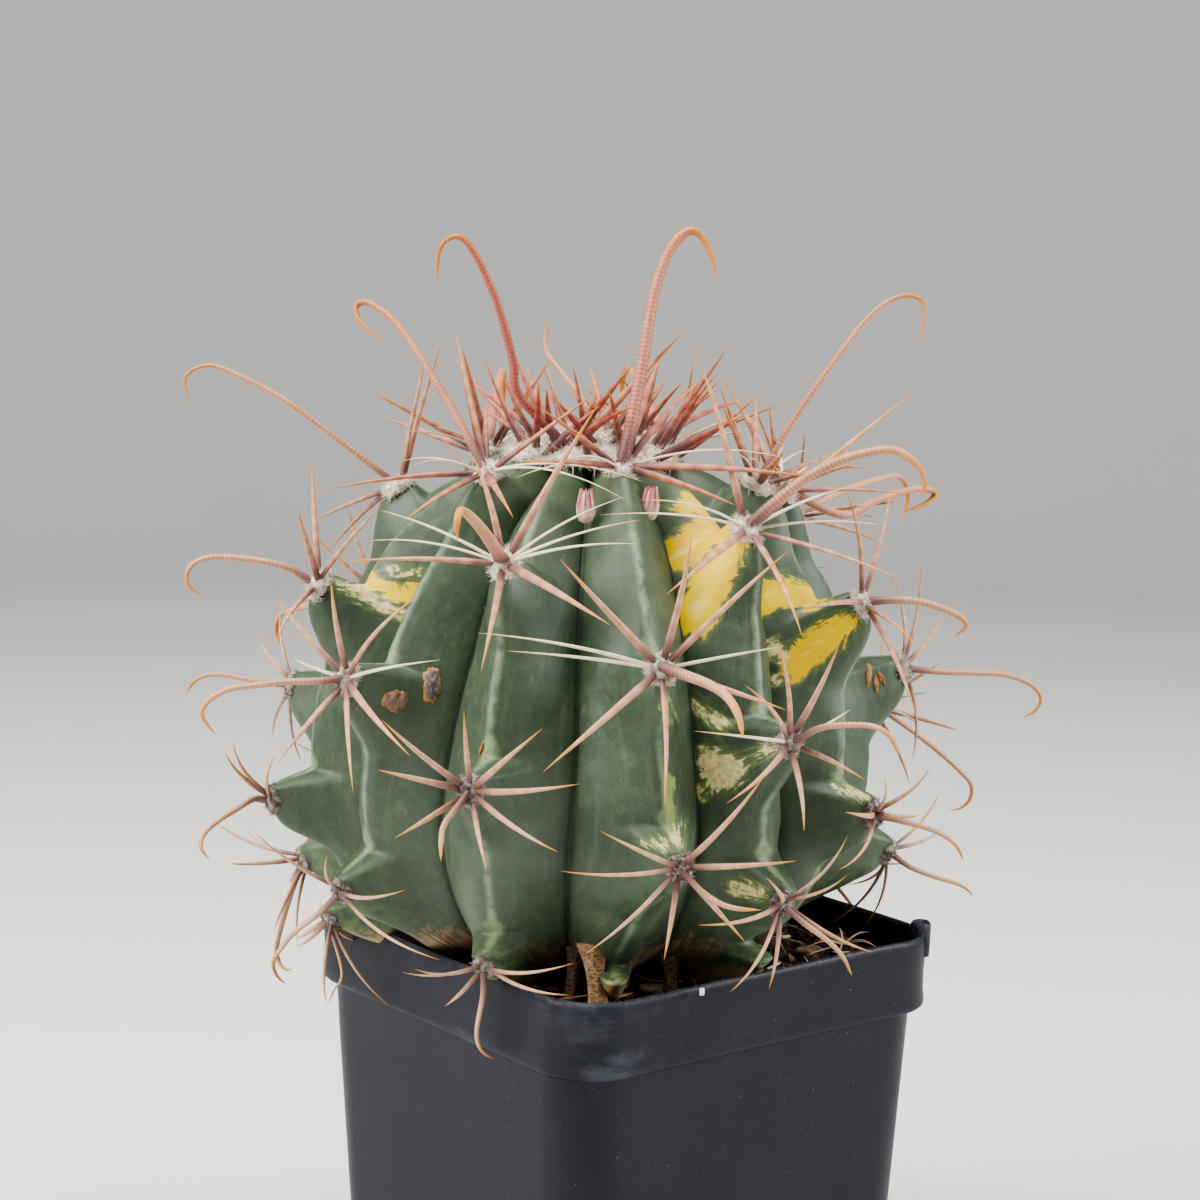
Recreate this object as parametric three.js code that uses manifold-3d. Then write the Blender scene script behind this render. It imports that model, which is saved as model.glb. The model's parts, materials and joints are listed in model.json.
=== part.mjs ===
// A ribbed barrel cactus with hooked spines, growing in a square nursery pot.
// Millimetres, +Z up. The origin is the centre of the pot's underside.

import * as THREE from "three";
import { mergeVertices } from "three/addons/utils/BufferGeometryUtils.js";
import Module from "manifold-3d";

const wasm = await Module();
wasm.setup();

// The clearance between pieces that touch, the overlap of forms that join, and the merging of shared points
const GAP = 0.3;
const JOIN = 0.01;
const MERGE_DISTANCE = 1e-4;

// Pot
const POT_HEIGHT = 95;
const RIM_WIDTH = 100;
const RIM_BAND = 16;
const BODY_WIDTH = 95.9;
const FOOT_WIDTH = 87.8;
const CORNER_RADIUS = 12;
const WALL = 1.5;
const FLOOR = 1.8;
const DRAIN_DIAMETER = 10;
const DRAIN_OFFSET = 27;
const LUG_RADIUS = 2.2;
const LUG_DEPTH = 5;
const LUG_CROWN = 2.2;

// Soil
const SOIL_DROP = 7.5;
const SOIL_RELIEF = 0.9;
const SOIL_CELLS = 10;

// Cactus: the outline that its areoles lie on, about an upright axis
const PLANT_X = -6;
const PLANT_Y = 5;
const GIRTH = 69.5;
const WAIST_Z = POT_HEIGHT + 38;
const CROWN_RISE = 66;
const BASE_DROP = 56;
const SQUARENESS = 2.15;
const CREST_DROP = 9;
const GROOVE_DEPTH = 9;
const CROWN_RELIEF = 3;
const TUBERCLE_HALF_WIDTH = 7;
const LOW_START = 118;
const LOW_END = 150;
const NECK_SHARE = 0.45;
const TIP_HALF_HEIGHT = 2.5;
const SHELF_HEIGHT = 4;
const CHIN_HEIGHT = 14;
const COLUMNS_PER_RIB = 6;
const ROWS = 28;

// Lengths along the skin from the crown, where the ribs begin and where their relief is full
const RIBS_BEGIN = 18;
const DROP_START = 15;
const DROP_FULL = 80;
const GROOVE_START = 10;
const GROOVE_FULL = 70;

// A rib's cross-section: the angle from its crest to its groove, its reach, and how round it is
const RIB_HALF_ANGLE = 14;
const RIB_REACH = 32;
const RIB_ROUNDNESS = 1.7;

// The plant's front is the side between ribs a and b, given as an angle from +X
const FRONT = -128.5;

// Ribs, anticlockwise from above. turn is the rib's angle from the front, in degrees.
// An areole is its height over the rim and the sway of the rib's crest there, in degrees, then
// its hooked spine: clock angle on the skin (0 is up the rib, 90 is anticlockwise round the
// plant), lift from the skin and length.
const RIBS = [
  { name: "a", turn: -18, areoles: [[83, 0, 155, 70, 36], [41, 0, -150, 45, 24], [3, -1.5, -165, 40, 22]] },
  { name: "b", turn: 13, areoles: [[100, 0, 40, 60, 46], [65, 0, 140, 50, 26], [27, 3, 105, 40, 24]] },
  { name: "c", turn: 38, areoles: [[89, 4, 125, 42, 38], [50, -2.5, 85, 50, 25], [17, -1, 130, 45, 24]] },
  { name: "d", turn: 64, areoles: [[96, 8, 100, 70, 44], [73, 3.5, 145, 60, 32], [32, -6.5, 150, 60, 25]] },
  { name: "e", turn: 87, areoles: [[94, 0, 100, 45, 30], [55, 7, -160, 67, 32], [16, 2, -140, 70, 25]] },
  { name: "f", turn: 116, areoles: [[86, 2, 150, 55, 34], [43, -2, -160, 50, 28], [6, 1, 160, 45, 22]] },
  { name: "g", turn: 145, areoles: [[100, -2, 115, 40, 34], [70, 3, 150, 60, 30], [27, -1, -150, 50, 25]] },
  { name: "h", turn: 174, areoles: [[93, 1, 70, 62, 32], [52, -3, 160, 55, 28], [13, 2, -155, 45, 23]] },
  { name: "i", turn: 202, areoles: [[80, -1, -150, 60, 32], [36, 2, 150, 50, 26], [5, 3, -170, 45, 22]] },
  { name: "j", turn: 231, areoles: [[99, 3, -110, 40, 34], [63, -2, 170, 60, 30], [21, -1, 140, 50, 24]] },
  { name: "k", turn: 260, areoles: [[92, 2, 150, 60, 40], [46, -6, 120, 65, 28], [10, 6, -150, 50, 23]] },
  { name: "l", turn: 286, areoles: [[74, 4.5, -155, 70, 30], [29, 3, 105, 55, 24], [3, 3, 150, 40, 20]] },
  { name: "m", turn: 315, areoles: [[98, 2, -75, 50, 42], [59, 0, -130, 55, 31], [15, -3.5, -130, 45, 26]] },
];

// Spines
const HOOK_FOOT_WIDTH = 2.4;
const HOOK_TIP_WIDTH = 0.5;
const HOOK_FLATNESS = 1.3;
const HOOK_BEND = 0.2;
const HOOK_TURN = 2.7;
const HOOK_RADIUS_TOP = 5.5;
const HOOK_RADIUS_LOW = 3.6;
const HOOK_SEGMENTS = 8;
const STRAIGHT_CLOCKS = [-38, 32, 108, 172, -112];
const STRAIGHT_LIFT = 32;
const STRAIGHT_WIDTH = 1.5;
const STRAIGHT_TIP_WIDTH = 0.3;
const STRAIGHT_LENGTH_TOP = 30;
const STRAIGHT_LENGTH_LOW = 20;
const SPINE_FREE_FROM = 5;
const LIFT_STEP = 9;
const LIFT_TRIES = 5;
const YOUNG_LENGTH = 30;
const OLD_LENGTH = 150;
const OLD_SIZE = 0.75;
const LEAST_DROOP = 0.2;
const PAD_HALF_WIDTH = 3.4;
const PAD_HALF_HEIGHT = 4.2;
const PAD_THICKNESS = 2;
const SPINE_FOOT = 0.9;

// Crown
const WOOL_RADIUS = 17;
const WOOL_HEIGHT = 4.5;
const CROWN_SPINES = 12;
const CROWN_SPINE_LENGTH = 30;
const CROWN_SPINE_ROOT = 4;
const CROWN_INNER = 4;
const CROWN_OUTER = 13;
const CROWN_LEAN_STEP = 1.6;
const GOLDEN_ANGLE = 137.5;

// The crown's hooked spine: angle from the front, lift from the skin and length
const CROWN_HOOKS = [[-24, 72, 50]];

// Flower remains: angle from the front, height over the rim
const BUDS = [["left", -6, 96], ["right", 25, 96]];
const BUD_RADIUS = 2.7;
const BUD_LENGTH = 8;
const BUD_ROOT = 4;

// Bits lying on the soil: x, y, half length, half width, turn in degrees
const CHIPS = [
  [-15, -30, 3.4, 1.7, 20],
  [31, -27, 4, 1.6, -35],
  [-40, 33, 3.2, 2, 70],
  [36, 26, 3.8, 1.8, 10],
];
const CHIP_HALF_THICKNESS = 1.1;

// Colours
const POT_COLOUR = 0x26282e;
const SOIL_COLOUR = 0x2b1d12;
const SKIN_COLOUR = 0x39573f;
const SPINE_COLOUR = 0xc98a72;
const CROWN_COLOUR = 0xb5674f;
const BUD_COLOUR = 0xd8b49a;
const CHIP_COLOUR = 0x8a6a48;

const DEGREE = Math.PI / 180;
const SOIL_TOP = POT_HEIGHT - SOIL_DROP;

function solidOf(geometry) {
  const bare = geometry.clone();
  bare.deleteAttribute("normal");
  bare.deleteAttribute("uv");
  const merged = mergeVertices(bare, MERGE_DISTANCE);
  const corners = merged.index.array;
  const kept = [];
  for (let i = 0; i < corners.length; i += 3) {
    const [a, b, c] = corners.slice(i, i + 3);
    if (a !== b && b !== c && c !== a) kept.push(a, b, c);
  }
  const vertProperties = merged.attributes.position.array;
  return new wasm.Manifold(new wasm.Mesh({ numProp: 3, vertProperties, triVerts: Uint32Array.from(kept) }));
}

function geometryOf(solid) {
  const mesh = solid.getMesh();
  const geometry = new THREE.BufferGeometry();
  geometry.setAttribute("position", new THREE.BufferAttribute(mesh.vertProperties, 3));
  geometry.setIndex(new THREE.BufferAttribute(mesh.triVerts, 1));
  geometry.computeVertexNormals();
  return geometry;
}

function moveVertices(geometry, place) {
  const position = geometry.attributes.position;
  const point = new THREE.Vector3();
  for (let i = 0; i < position.count; i++) {
    point.fromBufferAttribute(position, i);
    place(point, i);
    position.setXYZ(i, point.x, point.y, point.z);
  }
  return geometry;
}

// A turned shape about +Z, from points of radius and height
function latheOf(profile, sides) {
  const points = profile.map(([radius, height]) => new THREE.Vector2(radius, height));
  return new THREE.LatheGeometry(points, sides).rotateX(Math.PI / 2);
}

function mix(from, to, share) {
  return from + (to - from) * share;
}

function smoothstep(from, to, value) {
  const share = THREE.MathUtils.clamp((value - from) / (to - from), 0, 1);
  return share * share * (3 - 2 * share);
}

function largestPiece(solid) {
  const pieces = solid.decompose();
  return pieces.reduce((best, piece) => (piece.volume() > best.volume() ? piece : best));
}

// An upright block with round corners whose width changes from foot to top
function taperedBlock(footWidth, topWidth, bottom, top) {
  const half = 0.5;
  const corner = CORNER_RADIUS / RIM_WIDTH;
  const outline = new THREE.Shape();
  outline.moveTo(half, -half + corner);
  outline.absarc(half - corner, half - corner, corner, 0, Math.PI / 2);
  outline.absarc(-half + corner, half - corner, corner, Math.PI / 2, Math.PI);
  outline.absarc(-half + corner, -half + corner, corner, Math.PI, 1.5 * Math.PI);
  outline.absarc(half - corner, -half + corner, corner, 1.5 * Math.PI, 2 * Math.PI);
  const block = new THREE.ExtrudeGeometry(outline, { depth: 1, bevelEnabled: false, curveSegments: 5 });
  return solidOf(moveVertices(block, (point) => {
    const width = mix(footWidth, topWidth, point.z);
    point.set(point.x * width, point.y * width, mix(bottom, top, point.z));
  }));
}

// The pot's form at its outer face, or inset from it
function potForm(inset, bottom, top) {
  const bandFoot = POT_HEIGHT - RIM_BAND + inset;
  const body = taperedBlock(FOOT_WIDTH - 2 * inset, BODY_WIDTH - 2 * inset, bottom, bandFoot + JOIN);
  const band = taperedBlock(RIM_WIDTH - 2 * inset, RIM_WIDTH - 2 * inset, bandFoot, top);
  return body.add(band);
}

function drainHoles() {
  const reach = 4 * FLOOR;
  const hole = new THREE.CylinderGeometry(DRAIN_DIAMETER / 2, DRAIN_DIAMETER / 2, reach, 12);
  hole.rotateX(Math.PI / 2);
  const solids = [];
  for (const x of [-DRAIN_OFFSET, DRAIN_OFFSET]) {
    for (const y of [-DRAIN_OFFSET, DRAIN_OFFSET]) {
      solids.push(solidOf(hole).translate([x, y, 0]));
    }
  }
  return wasm.Manifold.union(solids);
}

// A small round-topped lug of plastic on one corner of the rim
function cornerLug() {
  const profile = [
    [0, -LUG_DEPTH],
    [LUG_RADIUS, -LUG_DEPTH],
    [LUG_RADIUS, 0],
    [0.7 * LUG_RADIUS, 0.7 * LUG_CROWN],
    [0, LUG_CROWN],
  ];
  const lug = latheOf(profile, 10);
  const reach = RIM_WIDTH / 2 - CORNER_RADIUS * (1 - Math.SQRT1_2) - WALL / 2;
  return solidOf(lug).translate([reach, -reach, POT_HEIGHT]);
}

function nurseryPot() {
  const hollow = potForm(WALL, FLOOR, POT_HEIGHT + 1);
  return potForm(0, 0, POT_HEIGHT).subtract(hollow).add(cornerLug()).subtract(drainHoles());
}

function soilHeight(x, y) {
  const lumps = Math.sin(x * 0.31 + 1) * Math.cos(y * 0.27) + 0.6 * Math.sin(x * 0.73 - y * 0.61);
  return SOIL_TOP + SOIL_RELIEF * lumps;
}

function pottingSoil() {
  const block = new THREE.BoxGeometry(RIM_WIDTH, RIM_WIDTH, POT_HEIGHT, SOIL_CELLS, SOIL_CELLS, 1);
  const lumpy = solidOf(moveVertices(block, (point) => {
    const isTop = point.z > 0;
    point.z = isTop ? soilHeight(point.x, point.y) : FLOOR + GAP;
  }));
  return potForm(WALL + GAP, FLOOR + GAP, POT_HEIGHT).intersect(lumpy);
}

// The plant's upright outline, as points at even steps from crown to root
const OUTLINE = makeOutline();

function makeOutline() {
  const steps = 2000;
  const points = [];
  let length = 0;
  for (let i = 0; i <= steps; i++) {
    const turn = Math.PI / 2 - (Math.PI * i) / steps;
    const radius = GIRTH * Math.abs(Math.cos(turn)) ** (2 / SQUARENESS);
    const reach = turn > 0 ? CROWN_RISE : -BASE_DROP;
    const z = WAIST_Z + reach * Math.abs(Math.sin(turn)) ** (2 / SQUARENESS);
    const last = points.at(-1);
    if (last) length += Math.hypot(radius - last.radius, z - last.z);
    points.push({ radius, z, length });
  }
  return points;
}

const ROW_SPACING = OUTLINE.at(-1).length / ROWS;

// The outline's radius, height and outward direction at a length along the skin from the crown
function outlineAt(length) {
  const found = OUTLINE.findIndex((point) => point.length >= length);
  const after = THREE.MathUtils.clamp(found < 0 ? OUTLINE.length - 1 : found, 1, OUTLINE.length - 1);
  const a = OUTLINE[after - 1];
  const b = OUTLINE[after];
  const share = THREE.MathUtils.clamp((length - a.length) / (b.length - a.length), 0, 1);
  const run = Math.hypot(b.radius - a.radius, b.z - a.z);
  return {
    radius: mix(a.radius, b.radius, share),
    z: mix(a.z, b.z, share),
    outward: (a.z - b.z) / run,
    upward: (b.radius - a.radius) / run,
  };
}

function lengthAtHeight(z) {
  return OUTLINE.find((point) => point.z <= z).length;
}

// A point at a depth under the outline. Near the soil the depth is measured towards the axis.
function skinPoint(turn, length, depth) {
  const at = outlineAt(length);
  const angle = (FRONT + turn) * DEGREE;
  const low = smoothstep(LOW_START, LOW_END, length);
  const radius = at.radius - Math.min(depth * mix(at.outward, 1, low), at.radius * NECK_SHARE);
  return new THREE.Vector3(
    PLANT_X + radius * Math.cos(angle),
    PLANT_Y + radius * Math.sin(angle),
    at.z - depth * mix(at.upward, 0, low),
  );
}

function areoleLengths(rib) {
  return rib.areoles.map(([height]) => lengthAtHeight(POT_HEIGHT + height));
}

// The angle of a rib's crest from the front, which sways smoothly from areole to areole
function crestTurn(rib, length) {
  const places = areoleLengths(rib);
  let sway = rib.areoles[0][1];
  for (let i = 1; i < places.length; i++) {
    sway = mix(sway, rib.areoles[i][1], smoothstep(places[i - 1], places[i], length));
  }
  return rib.turn + sway;
}

// 1 at an areole, with a steep shelf above it and a long chin below
function tubercleShare(down) {
  const rise = smoothstep(-TIP_HALF_HEIGHT - SHELF_HEIGHT, -TIP_HALF_HEIGHT, down);
  const fall = 1 - smoothstep(TIP_HALF_HEIGHT, TIP_HALF_HEIGHT + CHIN_HEIGHT, down);
  return rise * fall;
}

function angleBetween(a, b) {
  return Math.abs(((((a - b) % 360) + 540) % 360) - 180);
}

// How far the skin lies inside the outline of the areoles
function skinDepth(turn, length) {
  const radius = outlineAt(length).radius;
  const drop = mix(CROWN_RELIEF, CREST_DROP, smoothstep(DROP_START, DROP_FULL, length));
  const groove = mix(CROWN_RELIEF, GROOVE_DEPTH, smoothstep(GROOVE_START, GROOVE_FULL, length));
  let best = Infinity;
  for (const rib of RIBS) {
    const apart = angleBetween(turn, crestTurn(rib, length));
    if (apart > RIB_REACH) continue;
    const across = apart * DEGREE * radius;
    const ridge = drop + groove * (apart / RIB_HALF_ANGLE) ** RIB_ROUNDNESS;
    const width = Math.exp(-((across / TUBERCLE_HALF_WIDTH) ** 2));
    const raised = Math.max(...areoleLengths(rib).map((place) => tubercleShare(length - place)));
    best = Math.min(best, ridge - drop * raised * width);
  }
  return mix(CROWN_RELIEF, best, smoothstep(0, RIBS_BEGIN, length));
}

// Each rib has a column of points on its crest, and the row nearest an areole lies on it
function skinLength(row, rib) {
  const length = row * ROW_SPACING;
  const near = areoleLengths(rib).find((place) => Math.abs(place - length) < ROW_SPACING / 2);
  return near ?? length;
}

// The ribbed body from a row down to the root, grown outwards by some thickness
function ribbedSolid(firstRow, growth) {
  const columns = RIBS.length * COLUMNS_PER_RIB;
  const globe = new THREE.SphereGeometry(1, columns, ROWS - firstRow);
  const ribbed = moveVertices(globe, (point, index) => {
    const row = firstRow + Math.floor(index / (columns + 1));
    const column = (index % (columns + 1)) % columns;
    const ribIndex = Math.floor(column / COLUMNS_PER_RIB);
    const share = (column % COLUMNS_PER_RIB) / COLUMNS_PER_RIB;
    const rib = RIBS[ribIndex];
    const next = RIBS[(ribIndex + 1) % RIBS.length];
    const length = skinLength(row, share < 0.5 ? rib : next);
    const lastTurn = crestTurn(next, length) + (next.turn < rib.turn ? 360 : 0);
    const turn = mix(crestTurn(rib, length), lastTurn, share);
    point.copy(skinPoint(turn, length, skinDepth(turn, length) - growth));
    if (row === ROWS) point.set(PLANT_X, PLANT_Y, WAIST_Z - BASE_DROP - growth);
    if (row === firstRow) point.set(PLANT_X, PLANT_Y, outlineAt(row * ROW_SPACING).z - CROWN_RELIEF);
  });
  return solidOf(ribbed);
}

function cactusBody() {
  return ribbedSolid(0, 0).subtract(rimClearance());
}

// The hollow that the body sits in, clear of it all round
function rootHollow() {
  const waistRow = Math.round(0.6 * ROWS);
  return ribbedSolid(waistRow, 2 * GAP).translate([0, 0, -GAP]);
}

// Room for the pot's rim where the lowest tubercles hang over it
function rimClearance() {
  const bottom = POT_HEIGHT - RIM_BAND;
  const top = POT_HEIGHT + GAP;
  const outer = taperedBlock(RIM_WIDTH + 2 * GAP, RIM_WIDTH + 2 * GAP, bottom, top);
  const inside = RIM_WIDTH - 2 * (WALL + GAP);
  return outer.subtract(taperedBlock(inside, inside, bottom - 1, top + 1));
}

// A spine: a tapered rod along dir that curves towards curl
function spineSolid(shape) {
  const { foot, dir, curl, length, width, tipWidth, flatness, bend, hookRadius, segments, sides } = shape;
  const turnLength = hookRadius ? HOOK_TURN * hookRadius : 0;
  const total = length + turnLength;
  const rod = new THREE.CylinderGeometry(tipWidth / 2, width / 2, total, sides, segments);
  const side = new THREE.Vector3().crossVectors(dir, curl);
  const path = spinePath(total, length, bend, hookRadius, segments);
  return solidOf(moveVertices(rod, (point) => {
    const along = point.y / total + 0.5;
    const stop = path[Math.round(along * segments)];
    const across = point.x * flatness;
    const outward = point.z;
    const alongDir = stop.along - outward * Math.sin(stop.turn);
    const alongCurl = stop.curl + outward * Math.cos(stop.turn);
    point.copy(foot).addScaledVector(dir, alongDir);
    point.addScaledVector(curl, alongCurl).addScaledVector(side, across);
  }));
}

function spinePath(total, straight, bend, hookRadius, segments) {
  const fine = 12;
  const step = total / (segments * fine);
  const stops = [{ along: 0, curl: 0, turn: 0 }];
  let along = 0;
  let curl = 0;
  for (let i = 1; i <= segments * fine; i++) {
    const gone = i * step;
    const hooked = hookRadius ? Math.max(0, gone - straight) / hookRadius : 0;
    const turn = bend * Math.min(1, gone / straight) ** 2 + hooked;
    along += step * Math.cos(turn);
    curl += step * Math.sin(turn);
    if (i % fine === 0) stops.push({ along, curl, turn });
  }
  return stops;
}

// Directions on the skin at an areole: out of it, up the rib and anticlockwise round the plant
function areoleFrame(turn, length) {
  const at = outlineAt(length);
  const angle = (FRONT + turn) * DEGREE;
  const radial = new THREE.Vector3(Math.cos(angle), Math.sin(angle), 0);
  const out = radial.clone().multiplyScalar(at.outward).setZ(at.upward);
  const round = new THREE.Vector3(-Math.sin(angle), Math.cos(angle), 0);
  const up = new THREE.Vector3().crossVectors(out, round);
  return { origin: skinPoint(turn, length, 0), out, round, up };
}

function directionOf(frame, clock, lift) {
  const flat = Math.cos(lift * DEGREE);
  return frame.out.clone().multiplyScalar(Math.sin(lift * DEGREE))
    .addScaledVector(frame.up, flat * Math.cos(clock * DEGREE))
    .addScaledVector(frame.round, flat * Math.sin(clock * DEGREE));
}

// The way a spine droops: down, at right angles to the spine
function droopOf(dir, frame) {
  const droop = new THREE.Vector3(0, 0, -1).addScaledVector(dir, dir.z);
  if (droop.length() < LEAST_DROOP) droop.copy(frame.out).addScaledVector(dir, -frame.out.dot(dir));
  return droop.normalize();
}

const placed = [];

function isClear(solid, from, dir) {
  const outer = solid.trimByPlane(dir.toArray(), from.dot(dir) + SPINE_FREE_FROM);
  return placed.every((other) => outer.minGap(other, 1) > GAP);
}

// A spine that would touch what stands round it is lifted a little, or at last left out
function clearSpine(frame, clock, lift, shape) {
  for (let attempt = 0; attempt < LIFT_TRIES; attempt++) {
    const dir = directionOf(frame, clock, lift + attempt * LIFT_STEP);
    const foot = frame.origin.clone().addScaledVector(frame.out, SPINE_FOOT);
    const spine = spineSolid({ foot, dir, curl: droopOf(dir, frame), ...shape });
    if (isClear(spine, frame.origin, dir)) return [spine];
  }
  return [];
}

// A low dome of felt with a flat underside
function feltPad(frame, size) {
  const profile = [[0, 0], [1, 0], [0.85, 0.6], [0, 1]];
  const pad = latheOf(profile, 6);
  pad.scale(PAD_HALF_WIDTH * size, PAD_HALF_HEIGHT * size, PAD_THICKNESS * size);
  pad.applyMatrix4(new THREE.Matrix4().makeBasis(frame.round, frame.up, frame.out));
  pad.translate(...frame.origin.toArray());
  return solidOf(pad);
}

function hookShape(length, age) {
  return {
    length,
    width: HOOK_FOOT_WIDTH * mix(1, OLD_SIZE, age),
    tipWidth: HOOK_TIP_WIDTH,
    flatness: HOOK_FLATNESS,
    bend: HOOK_BEND,
    hookRadius: mix(HOOK_RADIUS_TOP, HOOK_RADIUS_LOW, age),
    segments: HOOK_SEGMENTS,
    sides: 4,
  };
}

function straightShape(age) {
  return {
    length: mix(STRAIGHT_LENGTH_TOP, STRAIGHT_LENGTH_LOW, age),
    width: STRAIGHT_WIDTH * mix(1, OLD_SIZE, age),
    tipWidth: STRAIGHT_TIP_WIDTH,
    flatness: 1,
    bend: 0,
    hookRadius: 0,
    segments: 1,
    sides: 3,
  };
}

// The felt and spines of one areole, resting on the skin
function spineCluster(rib, areole) {
  const [height, sway, clock, lift, length] = areole;
  const place = lengthAtHeight(POT_HEIGHT + height);
  const age = smoothstep(YOUNG_LENGTH, OLD_LENGTH, place);
  const frame = areoleFrame(rib.turn + sway, place);
  frame.origin.addScaledVector(frame.out, GAP);
  const spines = clearSpine(frame, clock, lift, hookShape(length, age));
  for (const straight of STRAIGHT_CLOCKS) {
    spines.push(...clearSpine(frame, straight, STRAIGHT_LIFT, straightShape(age)));
  }
  return wasm.Manifold.union([feltPad(frame, mix(1, OLD_SIZE, age)), ...spines]);
}

// The woolly growing point and the young spines round it
function crownCluster(body) {
  const top = skinPoint(0, 0, CROWN_RELIEF);
  const cap = new THREE.SphereGeometry(1, 12, 5);
  cap.rotateX(Math.PI / 2);
  cap.scale(WOOL_RADIUS, WOOL_RADIUS, WOOL_HEIGHT);
  cap.translate(...top.toArray());
  const pieces = [solidOf(cap)];
  for (let i = 0; i < CROWN_SPINES; i++) {
    const share = i / CROWN_SPINES;
    const frame = areoleFrame(i * GOLDEN_ANGLE, mix(CROWN_INNER, CROWN_OUTER, Math.sqrt(share)));
    const dir = directionOf(frame, 180, 90 - CROWN_LEAN_STEP * (i + 1));
    const foot = frame.origin.addScaledVector(dir, -CROWN_SPINE_ROOT);
    const shape = { ...straightShape(0), length: CROWN_SPINE_LENGTH * mix(0.7, 1, share) };
    pieces.push(spineSolid({ foot, dir, curl: droopOf(dir, frame), ...shape }));
  }
  for (const [turn, lift, length] of CROWN_HOOKS) {
    const frame = areoleFrame(turn, CROWN_OUTER);
    const dir = directionOf(frame, 180, lift);
    const hook = hookShape(length, 0);
    pieces.push(spineSolid({ foot: frame.origin, dir, curl: droopOf(dir, frame), ...hook }));
  }
  return largestPiece(wasm.Manifold.union(pieces).subtract(body)).translate([0, 0, GAP]);
}

function flowerRemains(body, turn, height) {
  const profile = [
    [0, -BUD_ROOT],
    [0.7 * BUD_RADIUS, -0.75 * BUD_ROOT],
    [BUD_RADIUS, 0.15 * BUD_LENGTH],
    [0.8 * BUD_RADIUS, 0.55 * BUD_LENGTH],
    [0.3 * BUD_RADIUS, 0.95 * BUD_LENGTH],
    [0, BUD_LENGTH],
  ];
  const bud = latheOf(profile, 8);
  const length = lengthAtHeight(POT_HEIGHT + height);
  const foot = skinPoint(turn, length, skinDepth(turn, length));
  bud.translate(...foot.toArray());
  return largestPiece(solidOf(bud).subtract(body)).translate([0, 0, GAP]);
}

function barkChip(soil, [x, y, halfLength, halfWidth, turn]) {
  const chip = new THREE.IcosahedronGeometry(1, 1);
  chip.scale(halfLength, halfWidth, CHIP_HALF_THICKNESS);
  chip.rotateZ(turn * DEGREE);
  chip.translate(x, y, soilHeight(x, y) + 0.4 * CHIP_HALF_THICKNESS);
  return largestPiece(solidOf(chip).subtract(soil)).translate([0, 0, GAP]);
}

function named(name, solid, color, roughness) {
  placed.push(solid);
  const material = new THREE.MeshStandardMaterial({ color, roughness, metalness: 0 });
  const mesh = new THREE.Mesh(geometryOf(solid), material);
  mesh.name = name;
  return mesh;
}

const plant = new THREE.Group();
const body = cactusBody();
const soil = pottingSoil().subtract(rootHollow());
plant.add(named("nursery_pot", nurseryPot(), POT_COLOUR, 0.55));
plant.add(named("potting_soil", soil, SOIL_COLOUR, 0.95));
plant.add(named("cactus_body", body, SKIN_COLOUR, 0.5));
plant.add(named("crown_spines", crownCluster(body), CROWN_COLOUR, 0.5));
for (const [side, turn, height] of BUDS) {
  plant.add(named(`flower_remains_${side}`, flowerRemains(body, turn, height), BUD_COLOUR, 0.7));
}
for (const rib of RIBS) {
  rib.areoles.forEach((areole, index) => {
    const name = `spine_cluster_${rib.name}${index + 1}`;
    plant.add(named(name, spineCluster(rib, areole), SPINE_COLOUR, 0.5));
  });
}
CHIPS.forEach((chip, index) => {
  plant.add(named(`bark_chip_${index + 1}`, barkChip(soil, chip), CHIP_COLOUR, 0.8));
});

export default plant;
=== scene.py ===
# %% [markdown]
# # A potted barrel cactus with hooked spines
#
# This lesson builds the looks of a small barrel cactus in a square plastic nursery pot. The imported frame
# gives each piece its place and size. Every piece here is made as a mesh in that frame, in metres, with +Z up
# and the origin under the middle of the pot.

import json
import math

import bpy
import numpy as np
from mathutils import Matrix, Vector
from mathutils.bvhtree import BVHTree

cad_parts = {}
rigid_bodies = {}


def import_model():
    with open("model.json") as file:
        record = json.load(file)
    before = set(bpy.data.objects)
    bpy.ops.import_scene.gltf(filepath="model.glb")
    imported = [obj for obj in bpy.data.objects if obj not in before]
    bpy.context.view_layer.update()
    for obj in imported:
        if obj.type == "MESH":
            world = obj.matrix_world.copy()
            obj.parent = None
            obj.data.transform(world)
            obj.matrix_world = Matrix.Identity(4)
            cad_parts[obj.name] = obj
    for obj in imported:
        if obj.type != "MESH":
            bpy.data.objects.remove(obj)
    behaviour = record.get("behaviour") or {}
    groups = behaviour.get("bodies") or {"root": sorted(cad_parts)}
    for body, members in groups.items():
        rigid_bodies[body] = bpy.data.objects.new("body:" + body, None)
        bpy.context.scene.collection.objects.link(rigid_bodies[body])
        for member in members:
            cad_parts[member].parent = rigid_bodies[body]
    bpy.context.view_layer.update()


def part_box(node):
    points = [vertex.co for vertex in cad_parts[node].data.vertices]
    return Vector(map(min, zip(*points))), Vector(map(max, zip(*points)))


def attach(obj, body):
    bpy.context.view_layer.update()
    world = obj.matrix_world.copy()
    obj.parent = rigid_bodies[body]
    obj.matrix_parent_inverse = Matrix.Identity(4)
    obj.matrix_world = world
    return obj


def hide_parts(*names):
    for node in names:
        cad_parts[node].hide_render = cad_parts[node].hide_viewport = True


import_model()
MM = 0.001
EAST, NORTH, SKY = np.eye(3)
TAU = 2 * math.pi


def show(name, data):
    """Adds an object to the scene."""
    piece = bpy.data.objects.new(name, data)
    bpy.context.scene.collection.objects.link(piece)
    return piece


# %% [markdown]
# ## Camera
#
# The camera stands where the photograph was taken: a long lens from about half a metre, a little over the
# plant and looking down on it. A wider lens nearer by could frame the plant as well, but the pot's corner and
# the far spines would then lean the wrong way. The numbers come from fitting the pot's rim in the photograph.

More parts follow.
